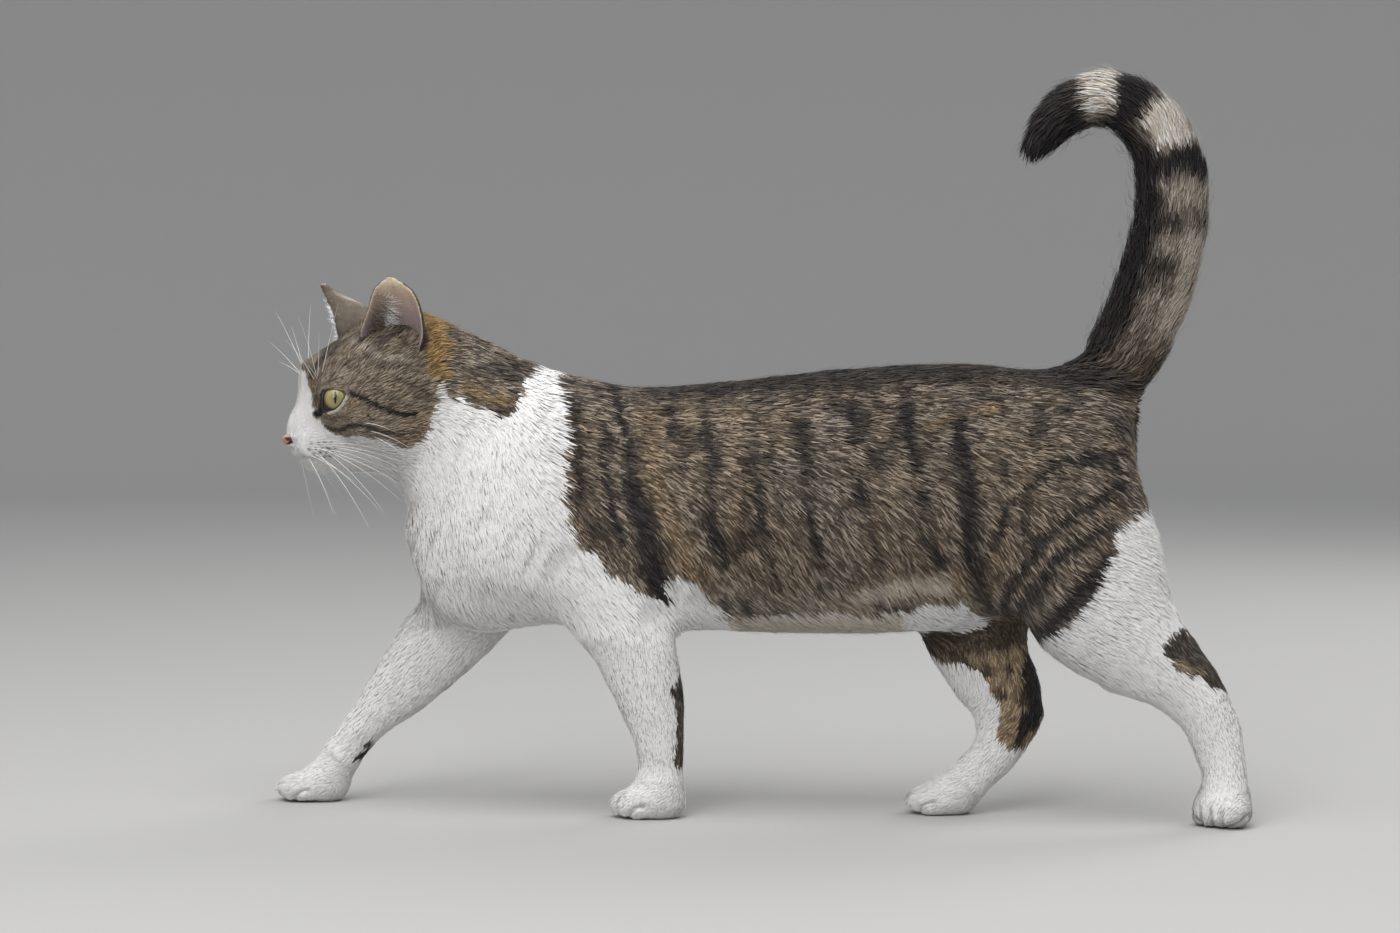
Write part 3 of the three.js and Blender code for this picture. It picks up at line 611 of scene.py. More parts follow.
# The markings: a tabby cat, ticked grey-brown with black bands, and white from the muzzle over the
# throat, breast, belly and legs. All are told by where a place is from the side: mm along, mm up.
SADDLE_FRONT = [
    (-100, 300), (-104, 262), (-110, 254), (-106, 247), (-103, 238), (-101, 226), (-101.5, 210),
    (-101, 198), (-100, 178), (-98, 166), (-92, 158), (-85, 151), (-71, 139), (-52, 129), (-42, 125),
    (-47, 136), (-37, 142), (-26, 138), (-19, 130), (-14, 123),
]
SADDLE_BELOW = [
    (-14, 121), (-3, 117), (9, 119), (32, 121), (55, 121), (78, 120), (92, 122), (107, 127), (125, 127),
    (138, 117), (152, 109), (166, 102),
]
SADDLE_BEHIND = [
    (174, 105), (187, 115), (200, 131), (208, 146), (211, 156), (213, 167), (218, 175), (227, 181),
    (262, 190), (300, 230), (300, 300),
]
NAPE = [
    (-250, 252), (-181, 252), (-176.4, 246.3), (-173.6, 249.8), (-170, 247.4), (-164.2, 246.3),
    (-158, 239.4), (-150.8, 237.1), (-142.4, 232.5), (-135.4, 233.7), (-130.9, 237.1), (-129.5, 246.3),
    (-127.7, 255.5), (-125, 263), (-123, 310), (-250, 310),
]
# Black bands over the saddle, each a line from the back down, and its half width.
BANDS = [
    ([(-84, 256), (-76, 247), (-69, 227), (-63, 198), (-60, 187)], 2.6),
    ([(-62, 192), (-57, 172), (-53, 152), (-50, 130)], 7.0),
    ([(-98, 240), (-94, 215), (-93, 190)], 2.2),
    ([(-82, 232), (-80, 205), (-76, 180), (-70, 160)], 2.2),
    ([(-47, 256), (-43, 244), (-41, 226)], 3.2),
    ([(-25, 256), (-20, 233), (-17, 204), (-18, 176), (-12, 150)], 3.4),
    ([(1, 258), (7, 222), (9, 187), (11, 157), (18, 138)], 3.2),
    ([(30, 258), (34, 236), (36, 214)], 3.0),
    ([(38, 198), (40, 175), (44, 150)], 2.8),
    ([(62, 240), (64, 222)], 4.0),
    ([(68, 205), (70, 184)], 4.0),
    ([(74, 170), (80, 150)], 3.4),
    ([(92, 242), (98, 224), (101, 206)], 4.0),
    ([(104, 190), (106, 168), (112, 150)], 3.6),
    ([(124, 230), (129, 201), (132, 177), (129, 155), (138, 137), (141, 128)], 5.0),
    ([(142, 159), (153, 180), (169, 198), (189, 209), (215, 214)], 2.6),
    ([(148, 123), (156, 139), (169, 162), (189, 180), (215, 196)], 3.0),
    ([(163, 128), (175, 146), (189, 162), (210, 175)], 3.6),
    ([(161, 124), (169, 134), (174, 142)], 5.0),
    ([(170, 109), (185, 123), (198, 138), (207, 153)], 5.5),
]
# Warm brown and ochre streaks, in the same way and with their strength.
OCHRE_FLANK = [(68, 130), (84, 136), (98, 140), (116, 138)]
WARM = [
    ([(-57, 232), (-53, 213), (-48, 192), (-42, 172), (-34, 150), (-26, 142)], 8.0, 0.5),
    ([(-30, 246), (-32, 222)], 6.0, 0.35),
    ([(-6, 238), (-3, 215), (-3, 188)], 6.0, 0.3),
    ([(109, 229), (126, 234), (141, 238), (149, 242)], 2.4, 0.75),
    (OCHRE_FLANK, 9.0, 1.1),
    ([(124, 140), (134, 128)], 4.0, 0.7),
    ([(150, 122), (160, 112)], 4.0, 0.6),
    ([(146, 172), (143, 150), (148, 132)], 3.0, 0.5),
    ([(-194, 296), (-184, 284), (-180, 271), (-178, 259)], 6.5, 1.4),
    ([(-163, 250), (-150, 243), (-138, 240)], 4.0, 0.8),
]
SPINE = [
    (-120, 250), (-78, 251.5), (-36, 253), (14, 258), (62, 262.5), (104, 265.5), (146, 266), (185, 259),
]

lattice = np.random.default_rng(7).uniform(-1, 1, 4096)  # what the blotches are made from


def blotches(places, size, seed=0):
    """Smooth noise from -1 to 1 whose blotches are about size mm across."""
    cell = places / (size * MM) + 37.3 * seed
    base = np.floor(cell).astype(np.int64)
    part = cell - base
    part = part * part * (3 - 2 * part)
    total = np.zeros(len(places))
    for corner in range(8):
        step = np.array([corner & 1, corner >> 1 & 1, corner >> 2 & 1])
        weight = np.prod(np.where(step, part, 1 - part), axis=1)
        key = ((base + step) * np.array([73856093, 19349663, 83492791])).sum(axis=1)
        total += weight * lattice[(key ^ (key >> 13)) & 4095]
    return total


# On the head the same is told in its own frame: mm ahead, across and up.
CHEEK_EDGE = [
    (-27, 3), (-26, -4.3), (-24.6, -12.4), (-22.2, -20.5), (-19.3, -28.7), (-16, -33.4), (-10.2, -35.6),
    (-3.5, -34), (3.5, -31.6), (10.5, -30.1), (18.3, -28.9), (27.7, -29), (33.1, -27.2), (35.8, -23.1),
    (37.5, -19.8), (40.3, -16.7), (41, -9.1), (44, 0.2), (60, 0.3), (60, 120), (-60, 120), (-60, 3),
]
WHISKER_DOTS = [
    [(45.0, -33.3), (41.7, -33.3), (38.4, -33.3), (34.8, -33.3)],
    [(46.1, -36.5), (42.8, -36.5), (39.5, -36.5), (36.0, -36.5), (32.3, -36.5)],
    [(43.9, -38.8), (40.6, -38.8), (37.2, -38.8), (33.3, -38.9)],
    [(41.5, -41.2), (38.0, -41.2), (34.4, -41.2)],
]
BLAZE = [  # up, half width
    (-60, 20), (-16, 10.8), (-9, 10.2), (-4.5, 9.2), (0, 7.9), (4, 6.6), (8.3, 4.7), (11, 0),
]
FACE_LINES = [  # ahead and up, half width, strength
    (
        [(25.5, -3.9), (20, -5.9), (13.6, -8.9), (7, -12.6), (0, -15.3), (-5.7, -16.2), (-13, -15.6)],
        1.4, 1.0,
    ),
    (
        [(35, -23.6), (31.9, -25.6), (27.5, -25.8), (25, -23), (18.9, -22.6), (11.1, -24.6), (4, -26.3)],
        1.2, 0.8,
    ),
    ([(4, -26.3), (-5, -27.3), (-13, -26)], 1.0, 0.7),
    ([(14.7, -16.2), (12.2, -19.5)], 1.1, 0.8),
    ([(42.4, 4.9), (40.6, 9.6), (37.5, 13.5)], 1.0, 0.6),
    ([(36, 14), (32, 19), (27, 26)], 1.2, 0.7),
    ([(30, 18), (24, 26)], 1.2, 0.6),
    ([(0, 4), (-14, 0), (-22, -6)], 1.6, 0.5),
    ([(8, 12), (-8, 12), (-20, 8)], 1.6, 0.45),
]
BROW_BAND = [(16.8, 24.2), (10.5, 20.7), (3.7, 16.6), (-4.8, 14.9)]
PALE_LINES = [  # round the eye: the line, where it fades out and is full, strength
    ([(38, 3), (30, 7), (22, 6)], 4, 1, 0.5),
    ([(39, 3), (38.5, -8)], 3, 1, 0.55),
    ([(36, -16.5), (31, -16)], 2.5, 1, 0.8),
]
TEAR_DUCT = (39.7, 12.5, -16.5)  # on the left
TAWNY_PLACES = [  # middle and size
    ((42, 1.5), 4.0), ((29, -14), 5.0), ((22, -11.5), 4.5), ((14, -20), 4.5), ((6.5, -21.6), 5.0),
    ((-3.5, -19.5), 4.0), ((-3, -31), 4.0), ((7, -29), 3.5),
]


def head_marks(points):
    """White, black, warm and pale shares on the head."""
    ahead, aside, up = points.T
    flat = points[:, [0, 2]]
    warble = 1.2 * blotches(points * MM, 5, 3)
    white = ramp(inside_shape(flat, CHEEK_EDGE) + warble, 0.8, -0.8)
    beside_blaze = np.abs(aside) - read_line(BLAZE, up)
    blaze = ramp(beside_blaze + 0.6 * warble, 0.7, -0.7) * (ahead > 20) * (up < 12)
    white = np.maximum(white * np.where(ahead > 36, ramp(up, -11, -14), 1), blaze)
    black = np.zeros(len(points))
    for line, width, strength in FACE_LINES:
        black = np.maximum(black, strength * ramp(from_line(flat, line), width * 1.6, width * 0.5))
    # stripes over the crown, from the brows back between the ears
    crown = ramp(up, 18, 26) * ramp(ahead, -20, -8)
    stripes = np.cos(np.abs(aside) * (2 * math.pi / 9) + 0.3 * blotches(points * MM, 12, 4))
    black = np.maximum(black, 0.7 * crown * ramp(stripes, 0.0, 0.8))
    black = np.maximum(black, 0.4 * ramp(blotches(points * MM, 5, 5), 0.1, 0.7) * ramp(up, -14, -6))
    warm = np.full(len(points), 0.32)
    for place, size in TAWNY_PLACES:
        away = np.linalg.norm(flat - place, axis=1)
        warm = np.maximum(warm, ramp(away, size * 1.5, size * 0.4))
    warm = np.maximum(warm, 0.8 * ramp(up, -8, -18))
    # pale over the brow, round the eye and on the cheek
    pale = np.maximum(0.22, 0.85 * ramp(from_line(flat, BROW_BAND) + 0.6 * warble, 4.5, 1.0))
    pale = np.maximum(pale, 0.65 * ramp(up, -8, -18) * (1 - 0.5 * ramp(ahead, 2, -14)))
    for line, outer, inner, strength in PALE_LINES:
        pale = np.maximum(pale, strength * ramp(from_line(flat, line), outer, inner))
    for hand in HANDS.values():
        outside, away = from_lids(points, hand)
        near = (away < FACE_REACH) * (outside < 15)
        at_duct = ramp(ahead, 36, 38.5)
        below = ramp(up, -3.5, -7)
        ring = near * ramp(outside, 3.6, 1.8)
        pale = np.maximum(pale, 1.15 * ring * below * (1 - at_duct))
        black *= 1 - 0.8 * ring
        black = np.maximum(black, near * ramp(outside, 0.8 + 1.5 * at_duct, 0.3 + 1.2 * at_duct))
        centre, axes = eye_frame(hand)
        # Black at the inner corner: the cat's own dark skin and hair, and painted shade for the eye's
        # shaded corner.
        corner = inside_shape(((points - centre) @ axes.T)[:, 1:], DARK_AND_SHADED_CORNER) * near - 5 * ~near
        black = np.maximum(black, ramp(corner, -0.5, 0.4))
        white = np.where(corner > -1.3, 0, white)
        pale = pale * (1 - ramp(corner, -0.5, 0.4))
        duct = np.linalg.norm(points - np.array(TEAR_DUCT) * [1, hand, 1], axis=1)
        black = np.maximum(black, ramp(duct, 3.0, 1.5))
        white = np.where(near & (outside < 2.2) | (duct < 2.6), 0, white)
    return white, black * (1 - white), warm, pale


def whisker_dots(points):
    """Grey spots in rows on the whisker pads, from 0 to 1."""
    flat = points[:, [0, 2]]
    dots = [dot for row in WHISKER_DOTS for dot in row]
    away = np.min([np.linalg.norm(flat - dot, axis=1) for dot in dots], axis=0)
    return ramp(away, 1.3, 0.6) * (np.abs(points[:, 1]) > 5)


# The tail's middle line from the side, from the root.
TAIL_LINE = [
    (189, 236), (205, 252), (217, 269), (227, 289), (236, 311), (242, 335), (245, 357), (244, 376),
    (239.5, 393), (230, 407), (218, 416), (204, 419), (189, 415.5), (177.5, 407), (169, 396), (165.5, 387),
]


def along_tail(flat):
    """How far along the tail's middle line each flat place is, and how far inside its curve."""
    line = np.asarray(TAIL_LINE)
    run, best = np.zeros(len(flat)), np.full(len(flat), 1e3)
    inner = np.zeros(len(flat))
    start_run = 0.0
    for start, end in zip(line[:-1], line[1:]):
        along = end - start
        length = np.linalg.norm(along)
        share = np.clip(((flat - start) @ along) / length**2, 0, 1)
        offset = flat - start - share[:, None] * along
        away = np.linalg.norm(offset, axis=1)
        closer = away < best
        run = np.where(closer, start_run + share * length, run)
        side = (along[0] * offset[:, 1] - along[1] * offset[:, 0]) / length
        inner = np.where(closer, side, inner)
        best = np.where(closer, away, best)
        start_run += length
    return run, inner


# Its rings: mm along it where the colour changes, and the shares of black and of pale there.
TAIL_RINGS = [
    (0, 0.72, 0.0), (36, 0.65, 0.0), (56, 0.25, 0.3), (84, 0.10, 0.65), (95, 0.6, 0.0), (104, 0.6, 0.0),
    (110, 0.0, 0.8), (118, 0.0, 0.8), (124, 0.8, 0.0), (130, 0.8, 0.0), (136, 0.0, 0.8),
    (149, 0.0, 0.85), (156, 0.95, 0.0), (166, 0.95, 0.0), (171, 0.0, 1.1), (192, 0.0, 1.1),
    (197, 1.0, 0.0), (211, 1.0, 0.0), (215, 0.0, 1.15), (231, 0.0, 1.1), (236, 0.95, 0.0),
    (300, 1.0, 0.0),
]


# The line up the middle of each ear's opening: mm ahead, across and up in the head.
EAR_OPENING = {
    "left": [(2, 23.5, 18), (-0.5, 31.5, 29.5), (0, 40.5, 44), (1.9, 45, 55.5), (4, 46, 62.4)],
    "right": [(3.8, -23.5, 18), (4.8, -30.5, 29.5), (9, -40, 42.5), (15.8, -45, 52), (23.7, -45.8, 59.7)],
}


def ear_facing(places, normals):
    """How squarely each place of an ear faces the middle of its opening: 1 in the cup, -1 behind."""
    head = in_head(places)
    facing = np.zeros(len(places))
    for side, hand in HANDS.items():
        *line, heights = np.array(EAR_OPENING[side]).T
        middle_there = np.column_stack([np.interp(head[:, 2], heights, way) for way in line])
        towards = (np.insert(middle_there, 2, head[:, 2], axis=1) - head) @ HEAD_AXES
        towards /= np.maximum(np.linalg.norm(towards, axis=1), 1e-6)[:, None]
        here = head[:, 1] * hand > 0
        facing = np.where(here, np.einsum("ij,ij->i", normals, towards), facing)
    return facing


def is_on(labels, *words):
    """Which labels are of parts with one of these words in their names."""
    return np.isin(labels, [k for k, name in enumerate(FLESH) if any(word in name for word in words)])


# Patches on the legs, from the side.
HOCK = [
    (238, 103), (243, 110), (255, 111), (263, 104), (270, 92), (277, 78), (268, 78), (258, 88), (246, 92),
]
UNDER_HOCK = [(244, 96), (256, 92), (262, 88), (256, 86), (246, 88)]
FOREARM_BACK = [(-42, 28), (-41, 60), (-43, 74), (-38, 84), (-25, 84), (-25, 28)]
FAR_BAND = [(92, 100), (100, 112), (140, 126), (185, 124), (185, 92), (160, 88), (130, 84), (112, 88)]
FAR_OCHRE = [(125, 92), (185, 100), (185, 45), (150, 36), (143, 45), (146, 60), (140, 74)]
FAR_EDGE = [(160, 92), (178, 92), (176, 60), (150, 34), (147, 42), (160, 62)]
FAR_SPOTS = ((138, 83), (152, 84), (146, 70), (158, 66))
FAR_KNEE = [(96, 92), (104, 96), (106, 86), (98, 84)]
FAR_TOE = [(-244, 24), (-236, 34), (-228, 36), (-222, 30), (-232, 22)]


def marks_at(places, normals, labels):
    """White, black, warm and pale shares anywhere on the cat."""
    points = places / MM
    flat = points[:, [0, 2]]
    words = ("head", "jaw", "ear_", "neck", "tail", "shin", "foot", "paw", "foreleg", "front", "hind")
    has = {word: is_on(labels, word) for word in words}
    far_side = points[:, 1] > 0
    outward = normals[:, 1] * np.sign(points[:, 1])
    ragged = 2.0 * blotches(places, 6, 1) + 1.4 * blotches(places, 2.5, 2)
    saddle = inside_shape(flat, [*SADDLE_FRONT, *SADDLE_BELOW, *SADDLE_BEHIND]) + ragged
    white = ramp(saddle, 1.5, -1.5)
    wander = [3.0 * blotches(places, 22, 6) + 9 * far_side, 4 * blotches(places, 26, 7)]
    banded = flat + np.column_stack(wander)
    black = np.zeros(len(points))
    for line, width in BANDS:
        away = from_line(banded, line) + 1.6 * blotches(places, 5, 8)
        black = np.maximum(black, ramp(away, width * 1.7, width * 0.5))
    broken = 0.5 + 0.5 * ramp(blotches(places, 17, 16), -0.5, 0.3)
    black *= broken + (1 - broken) * np.maximum(ramp(flat[:, 0], 5, -45), ramp(flat[:, 0], 118, 140))
    black = np.maximum(black, 0.75 * ramp(blotches(places * [1, 1, 0.35], 7, 9), 0.1, 0.55))
    from_spine = flat[:, 1] - read_line(SPINE, flat[:, 0])
    ragged_spine = 1.5 * blotches(places, 8, 10) + 5 * blotches(places * [1, 0.5, 0.5], 13, 19) - 1.5
    near_spine = ramp(from_spine + ragged_spine, -19, -10)
    near_spine *= 0.88 + 0.12 * ramp(blotches(places, 6, 21), -0.3, 0.3)
    black = np.maximum(black, near_spine * ramp(flat[:, 0], -95, -25))
    warm = 0.16 + 0.2 * blotches(places * [1, 1, 0.4], 14, 11)
    for line, width, strength in WARM:
        away = from_line(banded, line) + 2 * blotches(places, 6, 12)
        warm = np.maximum(warm, strength * ramp(away, width * 1.6, width * 0.3))
    black *= 1 - 0.4 * warm
    pale = 0.6 * ramp(flat[:, 1] + 6 * blotches(places, 12, 17), 146, 124) * (white < 0.5)
    pale = np.maximum(pale, 0.9 * ramp(from_line(banded, OCHRE_FLANK), 12, 3))

    # the nape, behind the head
    nape = inside_shape(flat, NAPE) + ragged
    nape_white = ramp(nape, 1.5, -1.5)
    nape_black = 0.75 * ramp(blotches(places * [0.35, 1, 1], 7, 13), -0.1, 0.5)
    nape_place = has["neck"] | ((flat[:, 0] < -115) & (flat[:, 1] > 225))
    white = np.where(nape_place, nape_white, white)
    black = np.where(nape_place, nape_black * (1 - warm), black)

    # the head
    head = in_head(places)
    on_head = has["head"] | has["jaw"] | has["ear_"] | (has["neck"] & (head[:, 0] > -30))
    behind_ear = ramp(head[:, 2], 0, 8)
    blend = ramp(head[:, 0] - 9 * behind_ear + ragged, -31, -26) * on_head
    blend = np.where(has["ear_"], 1, blend)
    for values, of_head in zip((white, black, warm, pale), head_marks(head)):
        values += (of_head - values) * blend

    # the ears' backs are plain, with a pale rim
    ear = has["ear_"]
    rim = bump((ear_facing(places, normals) + 0.2) / 0.4) * ramp(head[:, 2], 26, 34)
    ear_black = 0.42 + 0.25 * ramp(blotches(places, 9, 18), -0.4, 0.8)
    white = np.where(ear, 0, white)
    black = np.where(ear, ear_black * (1 - rim), black)
    warm = np.where(ear, 0.3, warm)
    pale = np.where(ear, 0.1 + 1.05 * rim, pale)

    # the tail
    run, inner = along_tail(flat)
    stations, *shares = zip(*TAIL_RINGS)
    shift = run + 2.5 * blotches(places, 7, 14)
    ring_black, ring_pale = [np.interp(shift, stations, share) for share in shares]
    crest = ramp(inner + 2 * blotches(places, 6, 15), 2, 9) * ramp(run, 250, 200)
    fringe = ramp(inner, -2, -9) * ramp(run, 45, 70) * ramp(run, 150, 120)
    white = np.where(has["tail"], 0.42 * ramp(ring_pale, 0.75, 1.15) * (1 - crest), white)
    black = np.where(has["tail"], np.maximum(ring_black * (1 - 0.8 * fringe), 0.97 * crest), black)
    pale = np.where(has["tail"], np.maximum(ring_pale, 0.95 * fringe) * (1 - crest), pale)
    warm = np.where(has["tail"], 0.3 * fringe + 0.25 * ramp(run, 110, 60), warm)

    # the legs: white, but for the thighs' outer sides and a few patches
    lower = has["foreleg"] | has["shin"] | has["foot"] | has["paw"]
    inner_side = has["hind"] & (outward < -0.25) & (flat[:, 1] < 190)
    knee_side = has["shin"] & has["hind"] & (outward > 0) & (flat[:, 1] > 120)
    white = np.where(lower & ~knee_side | inner_side, 1.0, white)

    def patch(shape, where, dark, brown, light=0.0):
        strength = ramp(inside_shape(flat, shape) + ragged, -1.2, 1.2) * where
        for values, target in zip((white, black, warm, pale), (0.0, dark, brown, light)):
            values += (target - values) * strength

    near_hind, far_hind = has["hind"] & ~far_side, has["hind"] & far_side
    near_front, far_front = has["front"] & ~far_side, has["front"] & far_side
    patch(HOCK, near_hind, 0.72, 0.1, 0.2)
    patch(UNDER_HOCK, near_hind, 0.2, 0.8, 0.4)
    patch(FOREARM_BACK, near_front & (normals[:, 0] > 0.25), 0.55, 0.2, 0.2)
    patch(FAR_BAND, far_hind, 0.55, 0.5, 0.15)
    patch(FAR_OCHRE, far_hind, 0.0, 1.25, 0.4)
    patch(FAR_EDGE, far_hind & (normals[:, 0] > 0.35), 0.95, 0.1)
    for spot in FAR_SPOTS:
        away = np.linalg.norm(flat - spot, axis=1) + ragged
        black = np.maximum(black, 0.8 * ramp(away, 5.5, 2.5) * far_hind * (white < 0.5))
    patch(FAR_KNEE, far_hind, 0.9, 0.1)
    patch(FAR_TOE, far_front, 0.7, 0.2)
    return np.clip(np.stack([white, black, warm, pale], axis=1), 0, 1.4)


# The colours of the hair, each but the white in its dark bands and its light ones.
WHITE_HAIR = np.array([0.755, 0.752, 0.747])
TICKED_DARK, TICKED_LIGHT = np.array([0.016, 0.0125, 0.0105]), np.array([0.45, 0.38, 0.31])
WARM_DARK, WARM_LIGHT = np.array([0.075, 0.046, 0.022]), np.array([0.54, 0.375, 0.20])
BLACK_DARK, BLACK_LIGHT = np.array([0.010, 0.009, 0.010]), np.array([0.040, 0.035, 0.036])
PALE_DARK, PALE_LIGHT = np.array([0.17, 0.14, 0.11]), np.array([0.60, 0.54, 0.47])


def mix(one, other, share):
    return one + (other - one) * share[:, None]


def hair_colour(marks, ticking):
    """The colour of hair with these marks; ticking 0 is its dark bands and 1 its light ones."""
    white, black, warm, pale = marks.T
    ticking = ticking + (0.9 - ticking) * ramp(pale, 0.75, 1.05)
    shades = []
    for ticked, warmer, paler, blacker in (
        (TICKED_DARK, WARM_DARK, PALE_DARK, BLACK_DARK),
        (TICKED_LIGHT, WARM_LIGHT, PALE_LIGHT, BLACK_LIGHT),
    ):
        shade = mix(np.broadcast_to(ticked, (len(marks), 3)), warmer, warm)
        shades.append(mix(mix(shade, paler, pale), blacker, black))
    return mix(mix(shades[0], shades[1], ticking), WHITE_HAIR, white)


skin_marks = marks_at(skin_places, skin_normals, skin_nodes)
skin_colour = hair_colour(skin_marks, 0.25 + 0.15 * blotches(skin_places, 2.0, 20))
# Under white hair the skin is painted 15% brighter, as painted light lifting the shade between tufts.
skin_colour *= 1 + 0.15 * skin_marks[:, :1]

# Bare skin shows inside the ears, mauve at the foot and tan above, and a pale rim edges them.
EAR_TAN, EAR_MAUVE = np.array([0.50, 0.37, 0.285]), np.array([0.36, 0.285, 0.285])
EAR_RIM_COLOUR = np.array([0.70, 0.58, 0.41])
skin_head = in_head(skin_places)
skin_facing = ear_facing(skin_places, skin_normals)
ear_inside = is_ear * ramp(skin_facing, 0.05, 0.35)
for side, hand in HANDS.items():
    low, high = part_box("ear_" + side)
    here = is_ear & (np.sign(skin_head[:, 1]) == hand) & (ear_inside > 0)
    rise = (skin_places[:, 2] - low.z) / (high.z - low.z)
    pink = mix(np.broadcast_to(EAR_MAUVE, skin_colour.shape), EAR_TAN, ramp(rise, 0.35, 0.9))
    skin_colour = np.where(here[:, None], mix(skin_colour, pink, ear_inside), skin_colour)
ear_edge = is_ear * bump((skin_facing - 0.02) / 0.34) * ramp(skin_head[:, 2], 22, 30)
before_rear = ramp(skin_head[:, 0] - 0.45 * skin_head[:, 2], -12, -6)
ear_edge *= np.where(skin_head[:, 1] < 0, before_rear, 1)
skin_colour = mix(skin_colour, EAR_RIM_COLOUR, ear_edge)
# Under the nose leather, which is a piece of its own, the skin is painted near black, as painted
# shade where it shows through the nostrils.
LEATHER_PLACE = NOSE_IN_HEAD + [0.5, 0, 0.8]
LEATHER_REACH = np.array([4.5, 4.8, 3.4])
under_leather = np.linalg.norm((skin_head - LEATHER_PLACE) / LEATHER_REACH, axis=1) < 0.97
skin_colour[under_leather] = (0.06, 0.025, 0.022)


def paint(mesh, name, colours):
    """Gives every vertex of the mesh its colour, under a name."""
    layer = mesh.color_attributes.new(name, "FLOAT_COLOR", "POINT")
    with_alpha = np.insert(colours, 3, 1.0, axis=1)
    layer.data.foreach_set("color", with_alpha.astype(np.float32).ravel())


def fixed_pattern(material, kind, **inputs):
    """A texture that stays in its place on the piece."""
    add, link = node_setter(material)
    place = add("ShaderNodeTexCoord")
    texture = add(kind, **inputs)
    link(place.outputs["Object"], texture.inputs["Vector"])
    return texture


def toned(material, colour, value, low, high, dark, light):
    """The colour, darker where the value is low and lighter where it is high."""
    add, link = node_setter(material)
    tone = add("ShaderNodeMapRange", From_Min=low, From_Max=high, To_Min=dark, To_Max=light)
    link(value, tone.inputs["Value"])
    shade = add("ShaderNodeVectorMath")
    shade.operation = "SCALE"
    link(colour, shade.inputs[0])
    link(tone.outputs["Result"], shade.inputs["Scale"])
    return shade.outputs["Vector"]


def painted_and_toned(material, shader, layer, *tone):
    """The shader's colour is the one painted on the vertices, times a tone."""
    add, link = node_setter(material)
    painted = add("ShaderNodeVertexColor")
    painted.layer_name = layer
    link(toned(material, painted.outputs["Color"], *tone), shader.inputs["Base Color"])


def embossed(material, shader, value, strength, height, sunk=False):
    """The surface rises with the value, or sinks with it."""
    add, link = node_setter(material)
    relief = add("ShaderNodeBump", Strength=strength, Distance=height)
    relief.invert = sunk
    link(value, relief.inputs["Height"])
    link(relief.outputs["Normal"], shader.inputs["Normal"])


paint(skin.data, "markings_and_shade", skin_colour)
hide, shader = principled("hide", 0.72, Specular_IOR_Level=0.25)
grain = fixed_pattern(hide, "ShaderNodeTexNoise", Scale=900.0, Detail=4.0).outputs["Fac"]
painted_and_toned(hide, shader, "markings_and_shade", grain, 0.3, 0.7, 0.85, 1.1)
embossed(hide, shader, grain, 0.5, 0.3 * MM)
skin.data.materials.append(hide)
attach(skin, "root")
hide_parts(*FLESH)

# ---- the coat ------------------------------------------------------------------------------------
# Short dense fur in thin flat tufts, each rooted in the skin, rising out of it and bending back to
# lie along the body. It runs from the nose over the head and back, down the legs and up the tail.
COAT_SHAPE = {  # length and width of a tuft, mm, and how many grow on a square mm
    "head": (4.9, 0.45, 2.3), "lower_jaw": (4.0, 0.42, 2.3), "ear": (1.5, 0.32, 2.1),
    "neck": (11.0, 1.20, 0.72), "chest": (11.5, 1.25, 0.66), "belly": (12.0, 1.15, 0.65),
    "rump": (11.5, 1.05, 0.68), "tail": (13.0, 0.90, 0.92), "thigh": (11.0, 1.10, 0.73),
    "shin": (8.0, 1.00, 0.84), "foot": (6.5, 0.90, 1.05), "foreleg": (8.0, 1.05, 0.76),
    "paw": (4.6, 0.78, 1.5),
}
TUFT_THICKNESS = 0.15  # of its width
PATCH = 0.003  # a tuft's share of the coat's map
MOST_TUFTS = 33000  # in one piece
PARTING = 6 * MM  # the face's hair runs back from a point this far behind the nose
EYE_FRONT = 11  # the front of the eyeball, mm from its centre
# The legs' hair lies this way.
LEG_FLOW = {
    "front_left_foreleg": (0.22, 0, -1), "front_left_paw": (-0.8, 0, -0.6),
    "front_right_foreleg": (-0.65, 0, -0.76), "front_right_paw": (-0.85, 0, -0.5),
    "hind_left_shin": (0.72, 0, -0.7), "hind_left_foot": (0.3, 0, -0.95),
    "hind_left_paw": (-0.45, -0.8, -0.4), "hind_right_shin": (0.2, 0, -0.98),
    "hind_right_foot": (-0.6, 0, -0.8), "hind_right_paw": (-0.85, 0, -0.5),
    "hind_left_thigh": (0.85, 0, -0.4), "hind_right_thigh": (0.6, 0, -0.75),
}


